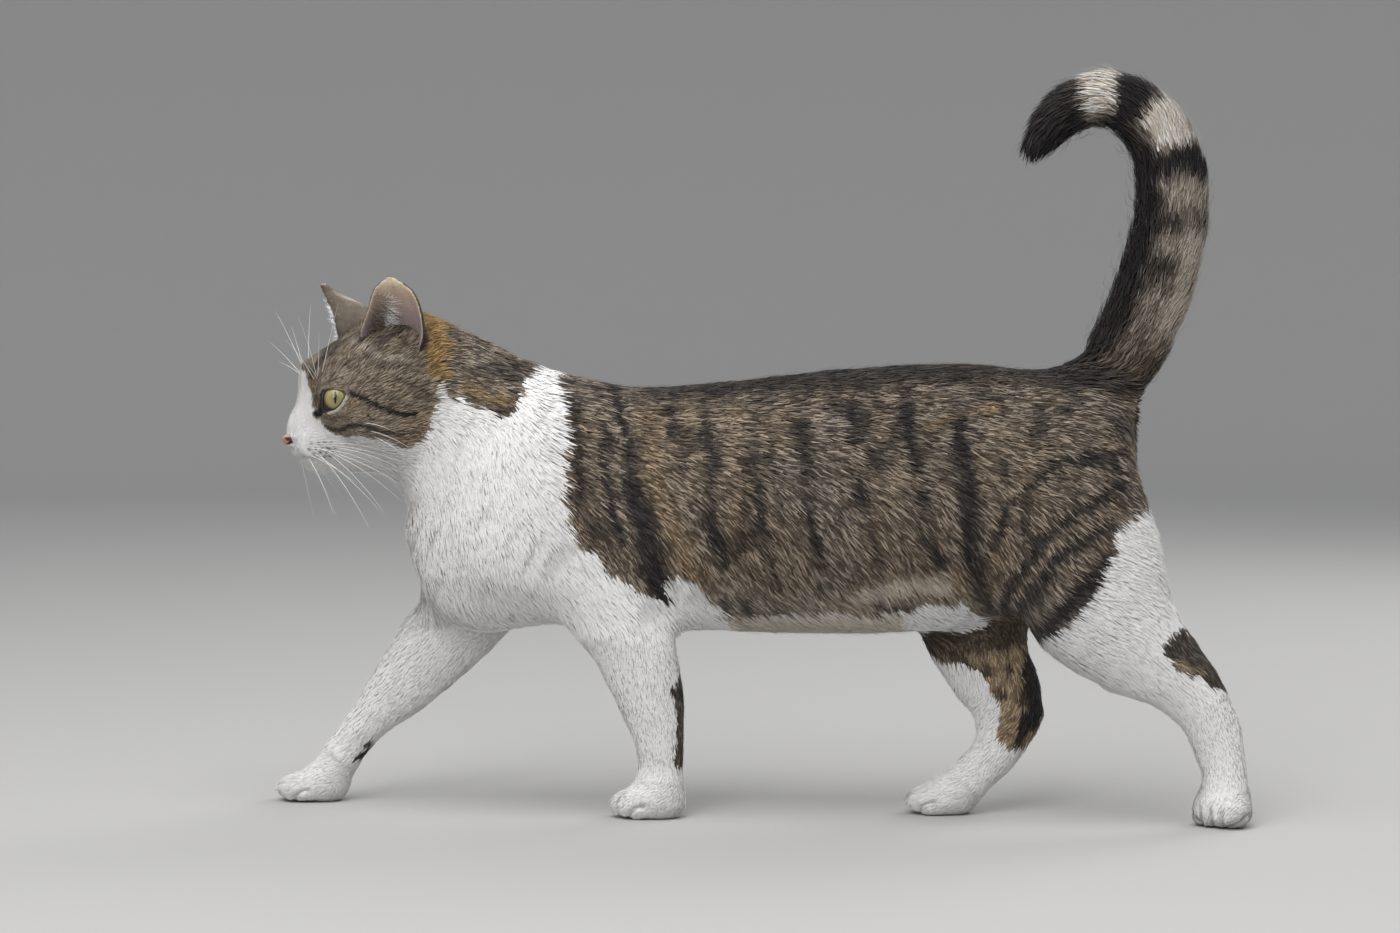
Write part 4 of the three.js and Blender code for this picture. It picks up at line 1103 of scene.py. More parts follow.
def lie_of_coat(places, labels):
    """Which way the hair lies at each place."""
    points = places / MM
    back, height = points[:, 0], points[:, 2]
    low = ramp(height, 240, 150)[:, None]
    flow = (1 - low) * np.array([1, 0, -0.15]) + low * np.array([0.55, 0, -0.8])
    front = ramp(back, -95, -150)[:, None]
    flow = flow + front * (np.array([0.3, 0, -0.95]) - flow)
    nape = ramp(height, 215, 250)[:, None]
    neck_flow = nape * np.array([0.95, 0, -0.2]) + (1 - nape) * np.array([0.5, 0, -0.85])
    flow = np.where(is_on(labels, "neck")[:, None], neck_flow, flow)
    from_parting = places - NOSE + PARTING * HEAD_AXES[0]
    from_parting /= np.linalg.norm(from_parting, axis=1)[:, None]
    flow = np.where(is_on(labels, "head", "jaw")[:, None], from_parting, flow)
    run, _ = along_tail(points[:, [0, 2]])
    steps = np.diff(np.asarray(TAIL_LINE, dtype=float), axis=0)
    lengths = np.linalg.norm(steps, axis=1)
    middles = np.cumsum(lengths) - lengths / 2
    tangent = np.stack([np.interp(run, middles, steps[:, k] / lengths) for k in (0, 1)], axis=1)
    tangent = np.insert(tangent, 1, 0.0, axis=1)
    flow = np.where(is_on(labels, "tail")[:, None], tangent, flow)
    for name, way in LEG_FLOW.items():
        flow = np.where(is_on(labels, name)[:, None], np.array(way), flow)
    for side in HANDS:
        low_corner, high_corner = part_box("ear_" + side)
        outer = high_corner.y if side == "right" else low_corner.y
        tip = Vector(((low_corner.x + high_corner.x) / 2, outer, high_corner.z))
        rise = np.array(tip - middle("ear_" + side) + Vector((0, 0, 8 * MM)))
        flow = np.where(is_on(labels, "ear_" + side)[:, None], rise / np.linalg.norm(rise), flow)
    return flow / np.linalg.norm(flow, axis=1)[:, None]


def along_surface(ways, normals):
    ways = ways - np.einsum("ij,ij->i", ways, normals)[:, None] * normals
    return ways / np.maximum(np.linalg.norm(ways, axis=1), 1e-9)[:, None]


coat_normals = spread(skin.data, skin_normals, 2)
coat_normals /= np.linalg.norm(coat_normals, axis=1)[:, None]
flow = spread(skin.data, lie_of_coat(skin_places, skin_nodes), 10)
flow = along_surface(flow, coat_normals)
# Round the eyes it turns away from the lids.
near_lids = np.zeros(len(skin_places))
for hand in HANDS.values():
    outside, away = from_lids(skin_head, hand)
    centre, axes = eye_frame(hand)
    closeness = ramp(outside, 9, 1) * (outside < 15) * (away < FACE_REACH)
    towards = from_head(centre + EYE_FRONT * axes[0]) - skin_places
    towards = along_surface(towards, coat_normals)
    inward = np.einsum("ij,ij->i", flow, towards)
    flow -= (np.maximum(inward, -0.3) + 0.3)[:, None] * closeness[:, None] * towards
    near_lids = np.maximum(near_lids, closeness)
flow = along_surface(flow, coat_normals)

# From the nose back over the face it grows longer, wider and sparser, and stands higher.
shape = part_values(COAT_SHAPE, FLESH, skin_nodes)
lift = part_values(COAT_DEPTH, FLESH, skin_nodes)
from_nose = np.linalg.norm(skin_places - NOSE, axis=1) / MM
face = is_on(skin_nodes, "head", "jaw")
face_width = np.clip(0.62 + 0.010 * from_nose, 0, 1.3)
face_shape = [np.clip(0.30 + 0.016 * from_nose, 0, 1.5), face_width, 1 / face_width**1.5]
shape *= np.where(face[:, None], np.column_stack(face_shape), 1)
lift = np.where(face, 0.4 + 0.026 * from_nose, lift)
# The tail's hair stands out more, most of all on the inside of its curve.
tail_inner = along_tail(skin_places[:, [0, 2]] / MM)[1]
lift = np.where(is_on(skin_nodes, "tail"), lift * 1.12 + 2.6 * ramp(tail_inner, 3, 11), lift)
# At the soles it is shorter and denser.
in_paws = is_on(skin_nodes, "paw")
height = skin_places[:, 2] / MM
shape[:, 0] *= np.where(in_paws, 0.55 + 0.45 * ramp(height, 2, 8), 1)
shape[:, 2] *= np.where(in_paws, 1 + 0.5 * ramp(height, 8, 2), 1)
shape = spread(skin.data, shape, 6)
lift = spread(skin.data, lift[:, None], 6)[:, 0]
shape[:, 0] *= 1 - 0.6 * near_lids
lift *= 1 - 0.5 * near_lids
# Inside the ears only long white hairs grow, from the front edge out over the hollow.
ear_forward = np.zeros(len(skin_places))
ear_front = np.zeros(len(skin_places))
for side, hand in HANDS.items():
    line = np.array(EAR_OPENING[side])
    here = is_ear & (skin_head[:, 1] * hand > 0)
    before = skin_head[:, 0] - np.interp(skin_head[:, 2], line[:, 2], line[:, 0])
    forward = ramp(before, -2, 3) * ramp(skin_head[:, 2], 57, 46) * ramp(skin_head[:, 2], 22, 29)
    ear_forward = np.where(here, forward, ear_forward)
    ear_front = np.where(here, before, ear_front)
long_hair = ear_inside * ear_forward
shape[:, 2] *= 1 - ear_inside * (1 - 0.5 * ear_forward)
near_ear = skin_head[:, 1] > 0
shape[:, 0] += np.where(near_ear, 10.5, 3.0) * long_hair
shape[:, 1] *= 1 - 0.25 * long_hair
lift = lift + np.where(near_ear, 4.5, 0.4) * long_hair
# Along their rims it is short.
ear_rim = is_ear * bump(skin_facing / 0.3) * (1 - long_hair)
shape[:, 0] *= 1 - 0.5 * ear_rim
lift *= 1 - 0.8 * ear_rim
ear_ahead, ear_up = np.where(near_ear, -1, 1), np.where(near_ear, -0.4, 0.25)
across_ear = ear_ahead[:, None] * HEAD_AXES[0] + ear_up[:, None] * HEAD_AXES[2]
across_ear = along_surface(across_ear, coat_normals)
flow = along_surface(mix(flow, across_ear, long_hair), coat_normals)

# The skin's own map: each region is unwrapped on a copy of the skin, over the whole square.
REGIONS = {
    "head": ("head", "lower_jaw", "ear_left", "ear_right"),
    "forebody": ("neck", "chest"),
    "flanks": ("belly",),
    "quarters": ("rump", "hind_left_thigh", "hind_right_thigh"),
    "tail": ("tail_root", "tail_middle", "tail_end"),
    "forelegs": ("front_left_foreleg", "front_left_paw", "front_right_foreleg", "front_right_paw"),
    "hindlegs": (
        "hind_left_shin", "hind_left_foot", "hind_left_paw",
        "hind_right_shin", "hind_right_foot", "hind_right_paw",
    ),
}
node_region = np.array([
    next(number for number, names in enumerate(REGIONS.values()) if name in names) for name in FLESH
])
pattern = skin.copy()
pattern.data = skin.data.copy()
pattern.name = "skin_pattern"
bpy.context.scene.collection.objects.link(pattern)
first_corner = read_each(skin.data.polygons, "loop_start", 1, np.int32)[:, 0]
corner_vertex = read_each(skin.data.loops, "vertex_index", 1, np.int32)[:, 0]
face_region = node_region[skin_nodes[corner_vertex[first_corner]]]
pattern.data.uv_layers.new(name="pattern")
for number in range(len(REGIONS)):
    on_faces(
        pattern, face_region == number, bpy.ops.uv.smart_project,
        angle_limit=math.radians(70), island_margin=0.004,
    )
corner_map = read_each(pattern.data.uv_layers["pattern"].data, "uv", 2)
bpy.data.objects.remove(pattern)

# Roots, spread evenly over the skin's triangles.
random = np.random.default_rng(11)
mesh = skin.data
mesh.calc_loop_triangles()
count = len(mesh.loop_triangles)
corners = read_each(mesh.loop_triangles, "vertices", 3, np.int32)
loops = read_each(mesh.loop_triangles, "loops", 3, np.int32)
sides = [skin_places[corners[:, k]] - skin_places[corners[:, 0]] for k in (1, 2)]
area = np.linalg.norm(np.cross(*sides), axis=1) / 2 / MM**2
wanted = area * shape[corners, 2].mean(axis=1) * 1
roots_each = np.floor(wanted + random.random(count)).astype(int)
triangle = np.repeat(np.arange(count), roots_each)
share = random.random((len(triangle), 2))
share = np.where(share.sum(axis=1, keepdims=True) > 1, 1 - share, share)
weights = np.column_stack([1 - share.sum(axis=1), share])


def at_roots(values):
    return np.einsum("ij,ijk->ik", weights, values[corners[triangle]])


root = at_roots(skin_places)
normal = at_roots(coat_normals)
normal /= np.linalg.norm(normal, axis=1)[:, None]
way = along_surface(at_roots(flow), normal)
tuft_length, tuft_width, _ = at_roots(shape).T
tuft_lift = at_roots(lift[:, None])[:, 0]
tuft_node = skin_nodes[corners[triangle, 0]]
tuft_map = np.einsum("ij,ijk->ik", weights, corner_map[loops[triangle]])
tuft_in_ear, tuft_on_rim, tuft_long, tuft_front = at_roots(
    np.column_stack([ear_inside, ear_edge, long_hair, ear_front])
).T
tuft_cleft = toe_clefts(root + (0.5 * MM * tuft_length)[:, None] * way, 0.9)

# Bare: the eyes and lid margins, the nose, the soles, and the rims and hollows of the ears.
LID_MARGIN = 0.7  # mm
SOLE_HEIGHT = 2.2 * MM
head_points = in_head(root)
bare = np.zeros(len(root), dtype=bool)
for hand in HANDS.values():
    outside, away = from_lids(head_points, hand)
    bare |= (outside < LID_MARGIN) & (away < LIDS_REACH)
bare |= np.linalg.norm((head_points - LEATHER_PLACE) / LEATHER_REACH, axis=1) < 1.0
bare |= (normal[:, 2] < -0.9) & (root[:, 2] < SOLE_HEIGHT)
bare |= (tuft_on_rim > 0.2) & (tuft_in_ear < 0.5)
bare |= (tuft_in_ear > 0.2) & (tuft_long < 0.05)
kept = ~bare
root, normal, way = root[kept], normal[kept], way[kept]
tuft_length, tuft_width, tuft_lift = tuft_length[kept], tuft_width[kept], tuft_lift[kept]
tuft_node, tuft_map, tuft_cleft = tuft_node[kept], tuft_map[kept], tuft_cleft[kept]
tuft_in_ear, tuft_front = tuft_in_ear[kept], tuft_front[kept]

# The hair is seen towards its tips, so its colour is that of the place where its tip lies. Each
# tuft is either white or not. The long hairs of the ears are white, painted brighter than the
# white coat as painted light in the shaded hollow, and ticked at the near ear's front edge.
SEEN_AT = 0.7  # of its length
EAR_WHITE_LIT, EAR_TICKED = [1.25, -0.1, 0.1, 0], [0, 0.05, 0.35, 0.45]
marks = marks_at(root + (SEEN_AT * MM * tuft_length)[:, None] * way, normal, tuft_node)
marks[:, 0] = (marks[:, 0] > random.uniform(0.3, 0.7, len(root))).astype(float)
marks[tuft_in_ear > 0.5] = EAR_WHITE_LIT
at_front = (tuft_front + random.normal(0, 2.2, len(root)) > 6) & is_on(tuft_node, "ear_left")
marks[(tuft_in_ear > 0.5) & at_front] = EAR_TICKED

# Neighbours lean together into locks; each tuft strays a little from them, in radians, and most
# of all in the ears.
STRAY, EAR_STRAY = 0.13, 0.35
LENGTHS, LIFTS, WIDTHS = (0.72, 1.18), (0.55, 1.12), (0.75, 1.25)  # least and most, of the usual
GUARD_SHARE, GUARD_WIDTH, GUARD_LIFT = 0.07, 0.32, 1.8  # of the tufts, and of their usual sizes
locks = 0.20 * blotches(root, 9, 30) + 0.16 * blotches(root, 3.5, 31)
stray = (locks + random.normal(0, STRAY, len(root))) * (1 - 0.3 * marks[:, 0])
stray += random.normal(0, EAR_STRAY, len(root)) * (tuft_in_ear > 0.5)
sideways = np.cross(way, normal)
way = way * np.cos(stray)[:, None] + sideways * np.sin(stray)[:, None]
sideways = np.cross(way, normal)
tuft_length *= random.uniform(*LENGTHS, len(root)) * (1 + 0.12 * blotches(root, 6, 32))
tuft_lift *= random.uniform(*LIFTS, len(root)) * (1 + 0.14 * blotches(root, 5, 33))
# The white coat of the neck and breast parts in faint slanting creases.
across_crease, along_crease = np.array([0.86, 0, -0.5]), np.array([0.5, 0, 0.86])
slant = np.column_stack([root @ across_crease, 0.4 * root[:, 1], 0.22 * (root @ along_crease)])
creased = ramp(blotches(slant, 5, 35), 0.30, 0.62)
crease_depth = is_on(tuft_node, "neck", "chest") * marks[:, 0] * creased
tuft_lift *= 1 - 0.55 * crease_depth
tuft_width *= random.uniform(*WIDTHS, len(root))
# A few tufts are finer single hairs that stand out of the coat.
guard = random.random(len(root)) < GUARD_SHARE
tuft_width *= np.where(guard, GUARD_WIDTH, 1)
tuft_lift *= np.where(guard, GUARD_LIFT, 1)

# A tuft is a flat spike: a foot in the skin, three corners where it bends, and a tip.
ROOT_DEPTH = 0.25  # mm
BEND_AT, BEND_HEIGHT, TIP_HEIGHT = 0.46, 0.86, 0.95  # of its length, and twice of its lift
LEAST_TUFT_HEIGHT = 0.15  # over the floor, mm
bend = root + MM * (
    (BEND_AT * tuft_length)[:, None] * way + (BEND_HEIGHT * tuft_lift)[:, None] * normal
)
tip = root + MM * (tuft_length[:, None] * way + (TIP_HEIGHT * tuft_lift)[:, None] * normal)
foot = root - (ROOT_DEPTH * MM) * normal
half = (tuft_width * MM / 2)[:, None] * sideways
ridge = (tuft_width * MM * TUFT_THICKNESS)[:, None] * normal
tufts = np.stack([foot, bend + half, bend - half, bend + ridge, tip], axis=1)
tufts[:, :, 2] = np.maximum(tufts[:, :, 2], LEAST_TUFT_HEIGHT * MM)
# Light falls on a lock as it does on the coat round it, more than on each hair's own side.
rounding = np.array([0, 0.35, -0.35, 0, 0])[None, :, None] * sideways[:, None]
slope = (tip - foot) / np.linalg.norm(tip - foot, axis=1)[:, None]
upright = normal - 0.5 * np.einsum("ij,ij->i", slope, normal)[:, None] * slope
tuft_shading = upright[:, None] + rounding
tuft_shading /= np.linalg.norm(tuft_shading, axis=2, keepdims=True)
TUFT_FACES = np.array([[0, 1, 3], [0, 3, 2], [0, 2, 1], [4, 3, 1], [4, 2, 3], [4, 1, 2]])
UPPER_FACES = np.array([1, 1, -1, 1, 1, -1])  # and the tuft's under side
TUFT_PATCH = np.array([[0.5, 0.0], [1.0, 0.45], [0.0, 0.45], [0.5, 0.55], [0.5, 1.0]]) - 0.5

# Each tuft is banded: dark at the foot, between at the bend, and light or dark at the tip.
light_share = 0.34 + 0.14 * is_on(tuft_node, "head", "jaw") + 0.38 * blotches(root, 2.4, 34)
light = random.random(len(root)) < light_share
light_tips, dark_tips = random.uniform(0.6, 1.1, len(root)), random.uniform(0.0, 0.22, len(root))
tip_ticking = np.where(light, light_tips, dark_tips)
on_ears = is_on(tuft_node, "ear_") & (tuft_in_ear < 0.5)
tip_ticking = np.where(on_ears, 0.3 + 0.25 * tip_ticking, tip_ticking)
bend_ticking = 0.38 * tip_ticking + random.uniform(0.0, 0.28, len(root))
brightness = 1 + random.uniform(-0.07, 0.03, len(root)) * (1 - 0.6 * marks[:, 0])
# The foot is painted darker still, as painted shade deep in the coat: a fifth on tabby, a twentieth on
# white.
shaded_foot_colour = hair_colour(marks, 0.12 * np.ones(len(root))) * (0.8 + 0.15 * marks[:, :1])
bend_colour = hair_colour(marks, bend_ticking) * brightness[:, None]
tip_colour = hair_colour(marks, tip_ticking) * brightness[:, None]
tuft_colours = np.stack([shaded_foot_colour, bend_colour, bend_colour, bend_colour, tip_colour], axis=1)
# The white of the belly's underside is painted cream and darker: partly its own cream tint, partly
# painted shade on the underside.
CREAM_AND_SHADE = np.array([0.34, 0.40, 0.48])  # how much of the red, green and blue it takes away
creamy_and_shaded = ramp(root[:, 2] / MM, 134, 118) * is_on(tuft_node, "belly") * marks[:, 0]
tuft_colours *= 1 - creamy_and_shaded[:, None, None] * CREAM_AND_SHADE
# Grey spots in rows on the whisker pads, and shade between the toes and in the creases.
tuft_colours *= (1 - 0.68 * whisker_dots(in_head(root)))[:, None, None]
tuft_colours *= (1 - 0.42 * tuft_cleft - 0.17 * crease_depth)[:, None, None]


def fur_material(name, roughness, sheen):
    fur, shader = principled(
        name, roughness, Specular_IOR_Level=0.15, Sheen_Weight=sheen, Sheen_Roughness=0.5
    )
    strands = fixed_pattern(fur, "ShaderNodeTexNoise", Scale=1600.0, Detail=2.0).outputs["Fac"]
    painted_and_toned(fur, shader, "coat", strands, 0.25, 0.75, 0.86, 1.12)
    return fur


def joined_tufts(name, chosen, material):
    """One mesh of the chosen tufts, with their colours and their map."""
    number = len(chosen)
    mesh = bpy.data.meshes.new(name)
    mesh.vertices.add(5 * number)
    mesh.vertices.foreach_set("co", tufts[chosen].astype(np.float32).ravel())
    faces = (TUFT_FACES[None] + 5 * np.arange(number)[:, None, None]).reshape(-1, 3)
    mesh.loops.add(faces.size)
    mesh.loops.foreach_set("vertex_index", faces.astype(np.int32).ravel())
    mesh.polygons.add(len(faces))
    mesh.polygons.foreach_set("loop_start", np.arange(0, faces.size, 3, dtype=np.int32))
    mesh.polygons.foreach_set("use_smooth", np.ones(len(faces), dtype=bool))
    mesh.update(calc_edges=True)
    patches = tuft_map[chosen][:, None] + PATCH * TUFT_PATCH[None]
    patches = np.clip(patches, 0, 1).reshape(-1, 2)
    layer = mesh.uv_layers.new(name="OFBake")
    layer.data.foreach_set("uv", patches[faces.ravel()].astype(np.float32).ravel())
    paint(mesh, "coat", tuft_colours[chosen].reshape(-1, 3))
    mesh.materials.append(material)
    shading = tuft_shading[chosen][:, TUFT_FACES] * UPPER_FACES[None, :, None, None]
    mesh.normals_split_custom_set(shading.reshape(-1, 3))
    piece = bpy.data.objects.new(name, mesh)
    bpy.context.scene.collection.objects.link(piece)
    return piece


tabby_fur = fur_material("tabby_fur", 0.70, 0.03)
white_fur = fur_material("white_fur", 0.90, 0.05)
region = node_region[tuft_node]
is_white = marks[:, 0] > 0.5
on_left = root[:, 1] < 0
KINDS = (("tabby", ~is_white, tabby_fur), ("white", is_white, white_fur))
for number, name in enumerate(REGIONS):
    for colour, of_colour, material in KINDS:
        here = np.flatnonzero((region == number) & of_colour)
        halves = {"": here}
        if len(here) > MOST_TUFTS:
            halves = {"_left": here[on_left[here]], "_right": here[~on_left[here]]}
        for side, chosen in halves.items():
            if len(chosen):
                coat_name = "coat_" + name + "_" + colour + side
                piece = joined_tufts(coat_name, chosen[:MOST_TUFTS], material)
                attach(piece, "root")

# ---- the eyes ------------------------------------------------------------------------------------
# Two moist eyeballs, each with a clear bulging cornea over a yellow-green iris and an upright slit
# pupil. They sit in their sockets behind the lids.
IRIS_RADIUS = 7.0
CORNEA_RISE, CORNEA_REACH = 1.1, 8.0  # over the eyeball, and out from its middle
PUPIL_HALF_WIDTH, PUPIL_HALF_HEIGHT = 0.75, 3.7
PUPIL_BLACK = (0.004, 0.004, 0.005, 1)
# The iris darkens towards its edge: a dark limbal ring of its own, and painted shade for its depth under
# the cornea.
IRIS_RINGS = [  # how far out, and the colour
    (0.0, (0.15, 0.15, 0.07)), (0.30, (0.24, 0.225, 0.10)), (0.62, (0.33, 0.285, 0.125)),
    (0.84, (0.22, 0.18, 0.085)), (0.95, (0.045, 0.035, 0.022)), (1.0, (0.012, 0.010, 0.009)),
]
# The cat looks to its left: how far each eye turns outward from straight ahead, and up.
GAZE = {"left": (math.radians(75), math.radians(10)), "right": (math.radians(14), math.radians(8))}


def to_world(direction):
    return Vector(np.asarray(direction) @ HEAD_AXES)


def iris_material(name, centre, turned):
    """Shades by how far each place is from the eye's axis; the axis is the pattern's own Z."""
    iris, shader = principled(
        name, 0.2, Coat_Weight=1.0, Coat_Roughness=0.02, Coat_IOR=1.33, Specular_IOR_Level=0.15
    )
    add, link = node_setter(iris)
    place = add("ShaderNodeTexCoord")
    frame_of_eye = add("ShaderNodeMapping")
    frame_of_eye.vector_type = "TEXTURE"
    frame_of_eye.inputs["Location"].default_value = centre
    frame_of_eye.inputs["Rotation"].default_value = turned
    frame_of_eye.inputs["Scale"].default_value = (MM, MM, MM)
    link(place.outputs["Object"], frame_of_eye.inputs["Vector"])
    parts = add("ShaderNodeSeparateXYZ")
    link(frame_of_eye.outputs["Vector"], parts.inputs["Vector"])

    def maths(operation, first, second=None):
        node = add("ShaderNodeMath")
        node.operation = operation
        for socket, value in zip(node.inputs, (first, second)):
            if hasattr(value, "links"):
                link(value, socket)
            elif value is not None:
                socket.default_value = value
        return node.outputs["Value"]

    across_axis, up_axis = parts.outputs["X"], parts.outputs["Y"]
    squares = [maths("MULTIPLY", way, way) for way in (across_axis, up_axis)]
    radius = maths("SQRT", maths("ADD", *squares))
    angle = maths("ARCTAN2", up_axis, across_axis)
    spokes = add("ShaderNodeCombineXYZ")
    link(maths("MULTIPLY", angle, 5.0), spokes.inputs["X"])
    link(maths("MULTIPLY", radius, 0.55), spokes.inputs["Y"])
    fibres = add("ShaderNodeTexNoise", Scale=3.2, Detail=5.0, Roughness=0.65)
    link(spokes.outputs["Vector"], fibres.inputs["Vector"])
    rings = add("ShaderNodeValToRGB")
    while len(rings.color_ramp.elements) < len(IRIS_RINGS):
        rings.color_ramp.elements.new(0.5)
    for element, (position, colour) in zip(rings.color_ramp.elements, IRIS_RINGS):
        element.position, element.color = position, (*colour, 1)
    link(maths("DIVIDE", radius, IRIS_RADIUS), rings.inputs["Fac"])
    fibred = toned(iris, rings.outputs["Color"], fibres.outputs["Fac"], 0.3, 0.7, 0.72, 1.25)
    parts_of_slit = [
        maths("POWER", maths("DIVIDE", maths("ABSOLUTE", way), half), 2.0)
        for way, half in ((across_axis, PUPIL_HALF_WIDTH), (up_axis, PUPIL_HALF_HEIGHT))
    ]
    slit = maths("SQRT", maths("ADD", *parts_of_slit))
    edge = add("ShaderNodeMapRange", From_Min=0.92, From_Max=1.10, To_Min=0.0, To_Max=1.0)
    link(slit, edge.inputs["Value"])
    pupil = add("ShaderNodeMix")
    pupil.data_type = "RGBA"
    pupil.inputs["A"].default_value = PUPIL_BLACK
    link(edge.outputs["Result"], pupil.inputs["Factor"])
    link(fibred, pupil.inputs["B"])
    link(pupil.outputs["Result"], shader.inputs["Base Color"])
    return iris


skin_surface = BVHTree.FromPolygons(
    read_vertices(skin.data).tolist(), [tuple(face.vertices) for face in skin.data.polygons]
)
rim_skin, shader = principled(
    "lid_margin", 0.32, Specular_IOR_Level=0.5, Coat_Weight=0.3, Coat_Roughness=0.15
)
pores = fixed_pattern(rim_skin, "ShaderNodeTexNoise", Scale=2500.0, Detail=3.0).outputs["Fac"]
two_toned(rim_skin, shader, pores, (0.010, 0.008, 0.007), (0.045, 0.032, 0.026))


def round_curve(name, radius, roundness):
    curve = bpy.data.curves.new(name, "CURVE")
    curve.dimensions = "3D"
    curve.bevel_depth = radius
    curve.bevel_resolution = roundness
    return curve


def as_mesh(curve):
    """The curve as a smooth mesh of the same name."""
    piece = bpy.data.objects.new(curve.name, curve)
    bpy.context.scene.collection.objects.link(piece)
    select_only(piece)
    bpy.ops.object.convert(target="MESH")
    bpy.ops.object.shade_smooth()
    return bpy.context.object


IN_FRONT = 30  # mm out from the eye's centre, clear of the lids
RIM_POINTS = 64
RIM_RADIUS = 0.5
RIM_OUTSET, RIM_LIFT = 0.30, 0.35  # outside the opening's edge, and over the eyeball, mm
for side, hand in HANDS.items():
    centre, axes = eye_frame(hand)
    gaze, raised = GAZE[side]
    axis = to_world((
        math.cos(gaze) * math.cos(raised), hand * math.sin(gaze) * math.cos(raised), math.sin(raised),
    ))
    turned = axis.to_track_quat("Z", "Y").to_euler()
    place = Vector(from_head(centre))
    bpy.ops.object.select_all(action="DESELECT")
    bpy.ops.mesh.primitive_uv_sphere_add(
        segments=56, ring_count=36, radius=EYE_RADIUS * MM, location=place, rotation=turned
    )
    eye = bpy.context.object
    eye.name = "eyeball_" + side
    bpy.ops.object.transform_apply(location=True, rotation=True, scale=True)
    bpy.ops.object.mode_set(mode="EDIT")
    bpy.ops.mesh.select_mode(type="VERT")
    bpy.ops.mesh.select_all(action="DESELECT")
    bpy.ops.object.mode_set(mode="OBJECT")
    pole = max(eye.data.vertices, key=lambda vertex: (vertex.co - place).dot(axis))
    pole.select = True
    bpy.ops.object.mode_set(mode="EDIT")
    bpy.ops.transform.translate(
        value=axis * (CORNEA_RISE * MM), use_proportional_edit=True,
        proportional_edit_falloff="SMOOTH", proportional_size=CORNEA_REACH * MM,
    )
    bpy.ops.object.mode_set(mode="OBJECT")
    bpy.ops.object.shade_smooth()
    eye.data.materials.append(iris_material("iris_" + side, place, turned))
    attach(eye, "root")
    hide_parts("eye_" + side)

    # The dark lid margin follows the edge of the opening over the skin.
    ring = np.vstack([LID_RING, LID_RING[:1]])
    steps = np.linalg.norm(np.diff(ring, axis=0), axis=1)
    stations = np.linspace(0, steps.sum(), RIM_POINTS, endpoint=False)
    run = np.concatenate([[0], np.cumsum(steps)])
    edge = np.stack([np.interp(stations, run, ring[:, k]) for k in (0, 1)], axis=1)
    outline_points = []
    for side_way, up_way in edge:
        reach = 1 + RIM_OUTSET / max(math.hypot(side_way, up_way), 1)
        start = centre + IN_FRONT * axes[0] + reach * (side_way * axes[1] + up_way * axes[2])
        hit = skin_surface.ray_cast(Vector(from_head(start)), -to_world(axes[0]))[0]
        if hit is None:
            continue
        from_centre = hit - place
        if from_centre.length < (EYE_RADIUS + RIM_LIFT) * MM:
            hit = place + from_centre.normalized() * (EYE_RADIUS + RIM_LIFT) * MM
        outline_points.append(np.array(hit))
    rim_line = np.array(outline_points)
    for _ in range(3):
        beside = np.roll(rim_line, 1, axis=0) + np.roll(rim_line, -1, axis=0)
        rim_line = 0.5 * rim_line + 0.25 * beside
    curve = round_curve("lid_margin_" + side, RIM_RADIUS * MM, 2)
    spline = curve.splines.new("POLY")
    spline.points.add(len(rim_line) - 1)
    spline.points.foreach_set("co", np.insert(rim_line, 3, 1.0, axis=1).ravel())
    spline.use_cyclic_u = True
    rim = as_mesh(curve)
    rim.data.materials.append(rim_skin)
    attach(rim, "root")

# ---- the nose ------------------------------------------------------------------------------------
# Bare pink leather, broad between the nostrils and narrow towards the lip, with a comma-shaped
# nostril on each side and a fine pebbled grain.
NOSE_SIZE = (4.2, 4.5, 3.2)  # half its length, width and height, mm
NOSTRIL = np.array([2.5, 2.8, 0.1])  # mm ahead, across and up from its middle
LEATHER_PINK, LEATHER_TOP, LEATHER_SHADE = np.array(
    [(0.50, 0.25, 0.205), (0.52, 0.36, 0.325), (0.09, 0.032, 0.026)]
)
bpy.ops.object.select_all(action="DESELECT")
bpy.ops.mesh.primitive_uv_sphere_add(segments=56, ring_count=40, radius=1)
nose = bpy.context.object
nose.name = "nose_leather"
points = read_vertices(nose.data) * NOSE_SIZE
ahead, aside, up = points.T
points[:, 1] *= np.clip(0.80 + 0.055 * up, 0.5, 1.05)  # narrower towards the lip
points[:, 0] -= 0.05 * np.maximum(-up, 0) ** 1.4
crease = bump(aside / 0.55) * (ahead > 0) * ramp(up, 0.5, -2.0)
points[:, 0] -= 0.55 * crease
for hand in HANDS.values():
    hole = NOSTRIL * [1, hand, 1]
    away = np.linalg.norm((points - hole) * [0.7, 1.0, 1.25], axis=1)
    slit = np.linalg.norm((points - hole - [-1.4, hand * 1.5, 0.9]) * [0.55, 0.9, 1.7], axis=1)
    pit = np.maximum(bump(away / 1.15), 0.7 * bump(slit))
    points -= pit[:, None] * np.array([1.7, hand * 0.5, -0.4])
    wing = bump(np.linalg.norm(points - hole - [-0.6, hand * 1.3, 1.3], axis=1) / 1.5)
    points += 0.35 * wing[:, None] * np.array([0.5, hand, 0.5])
write_vertices(nose.data, from_head(points + LEATHER_PLACE))
bpy.ops.object.shade_smooth()
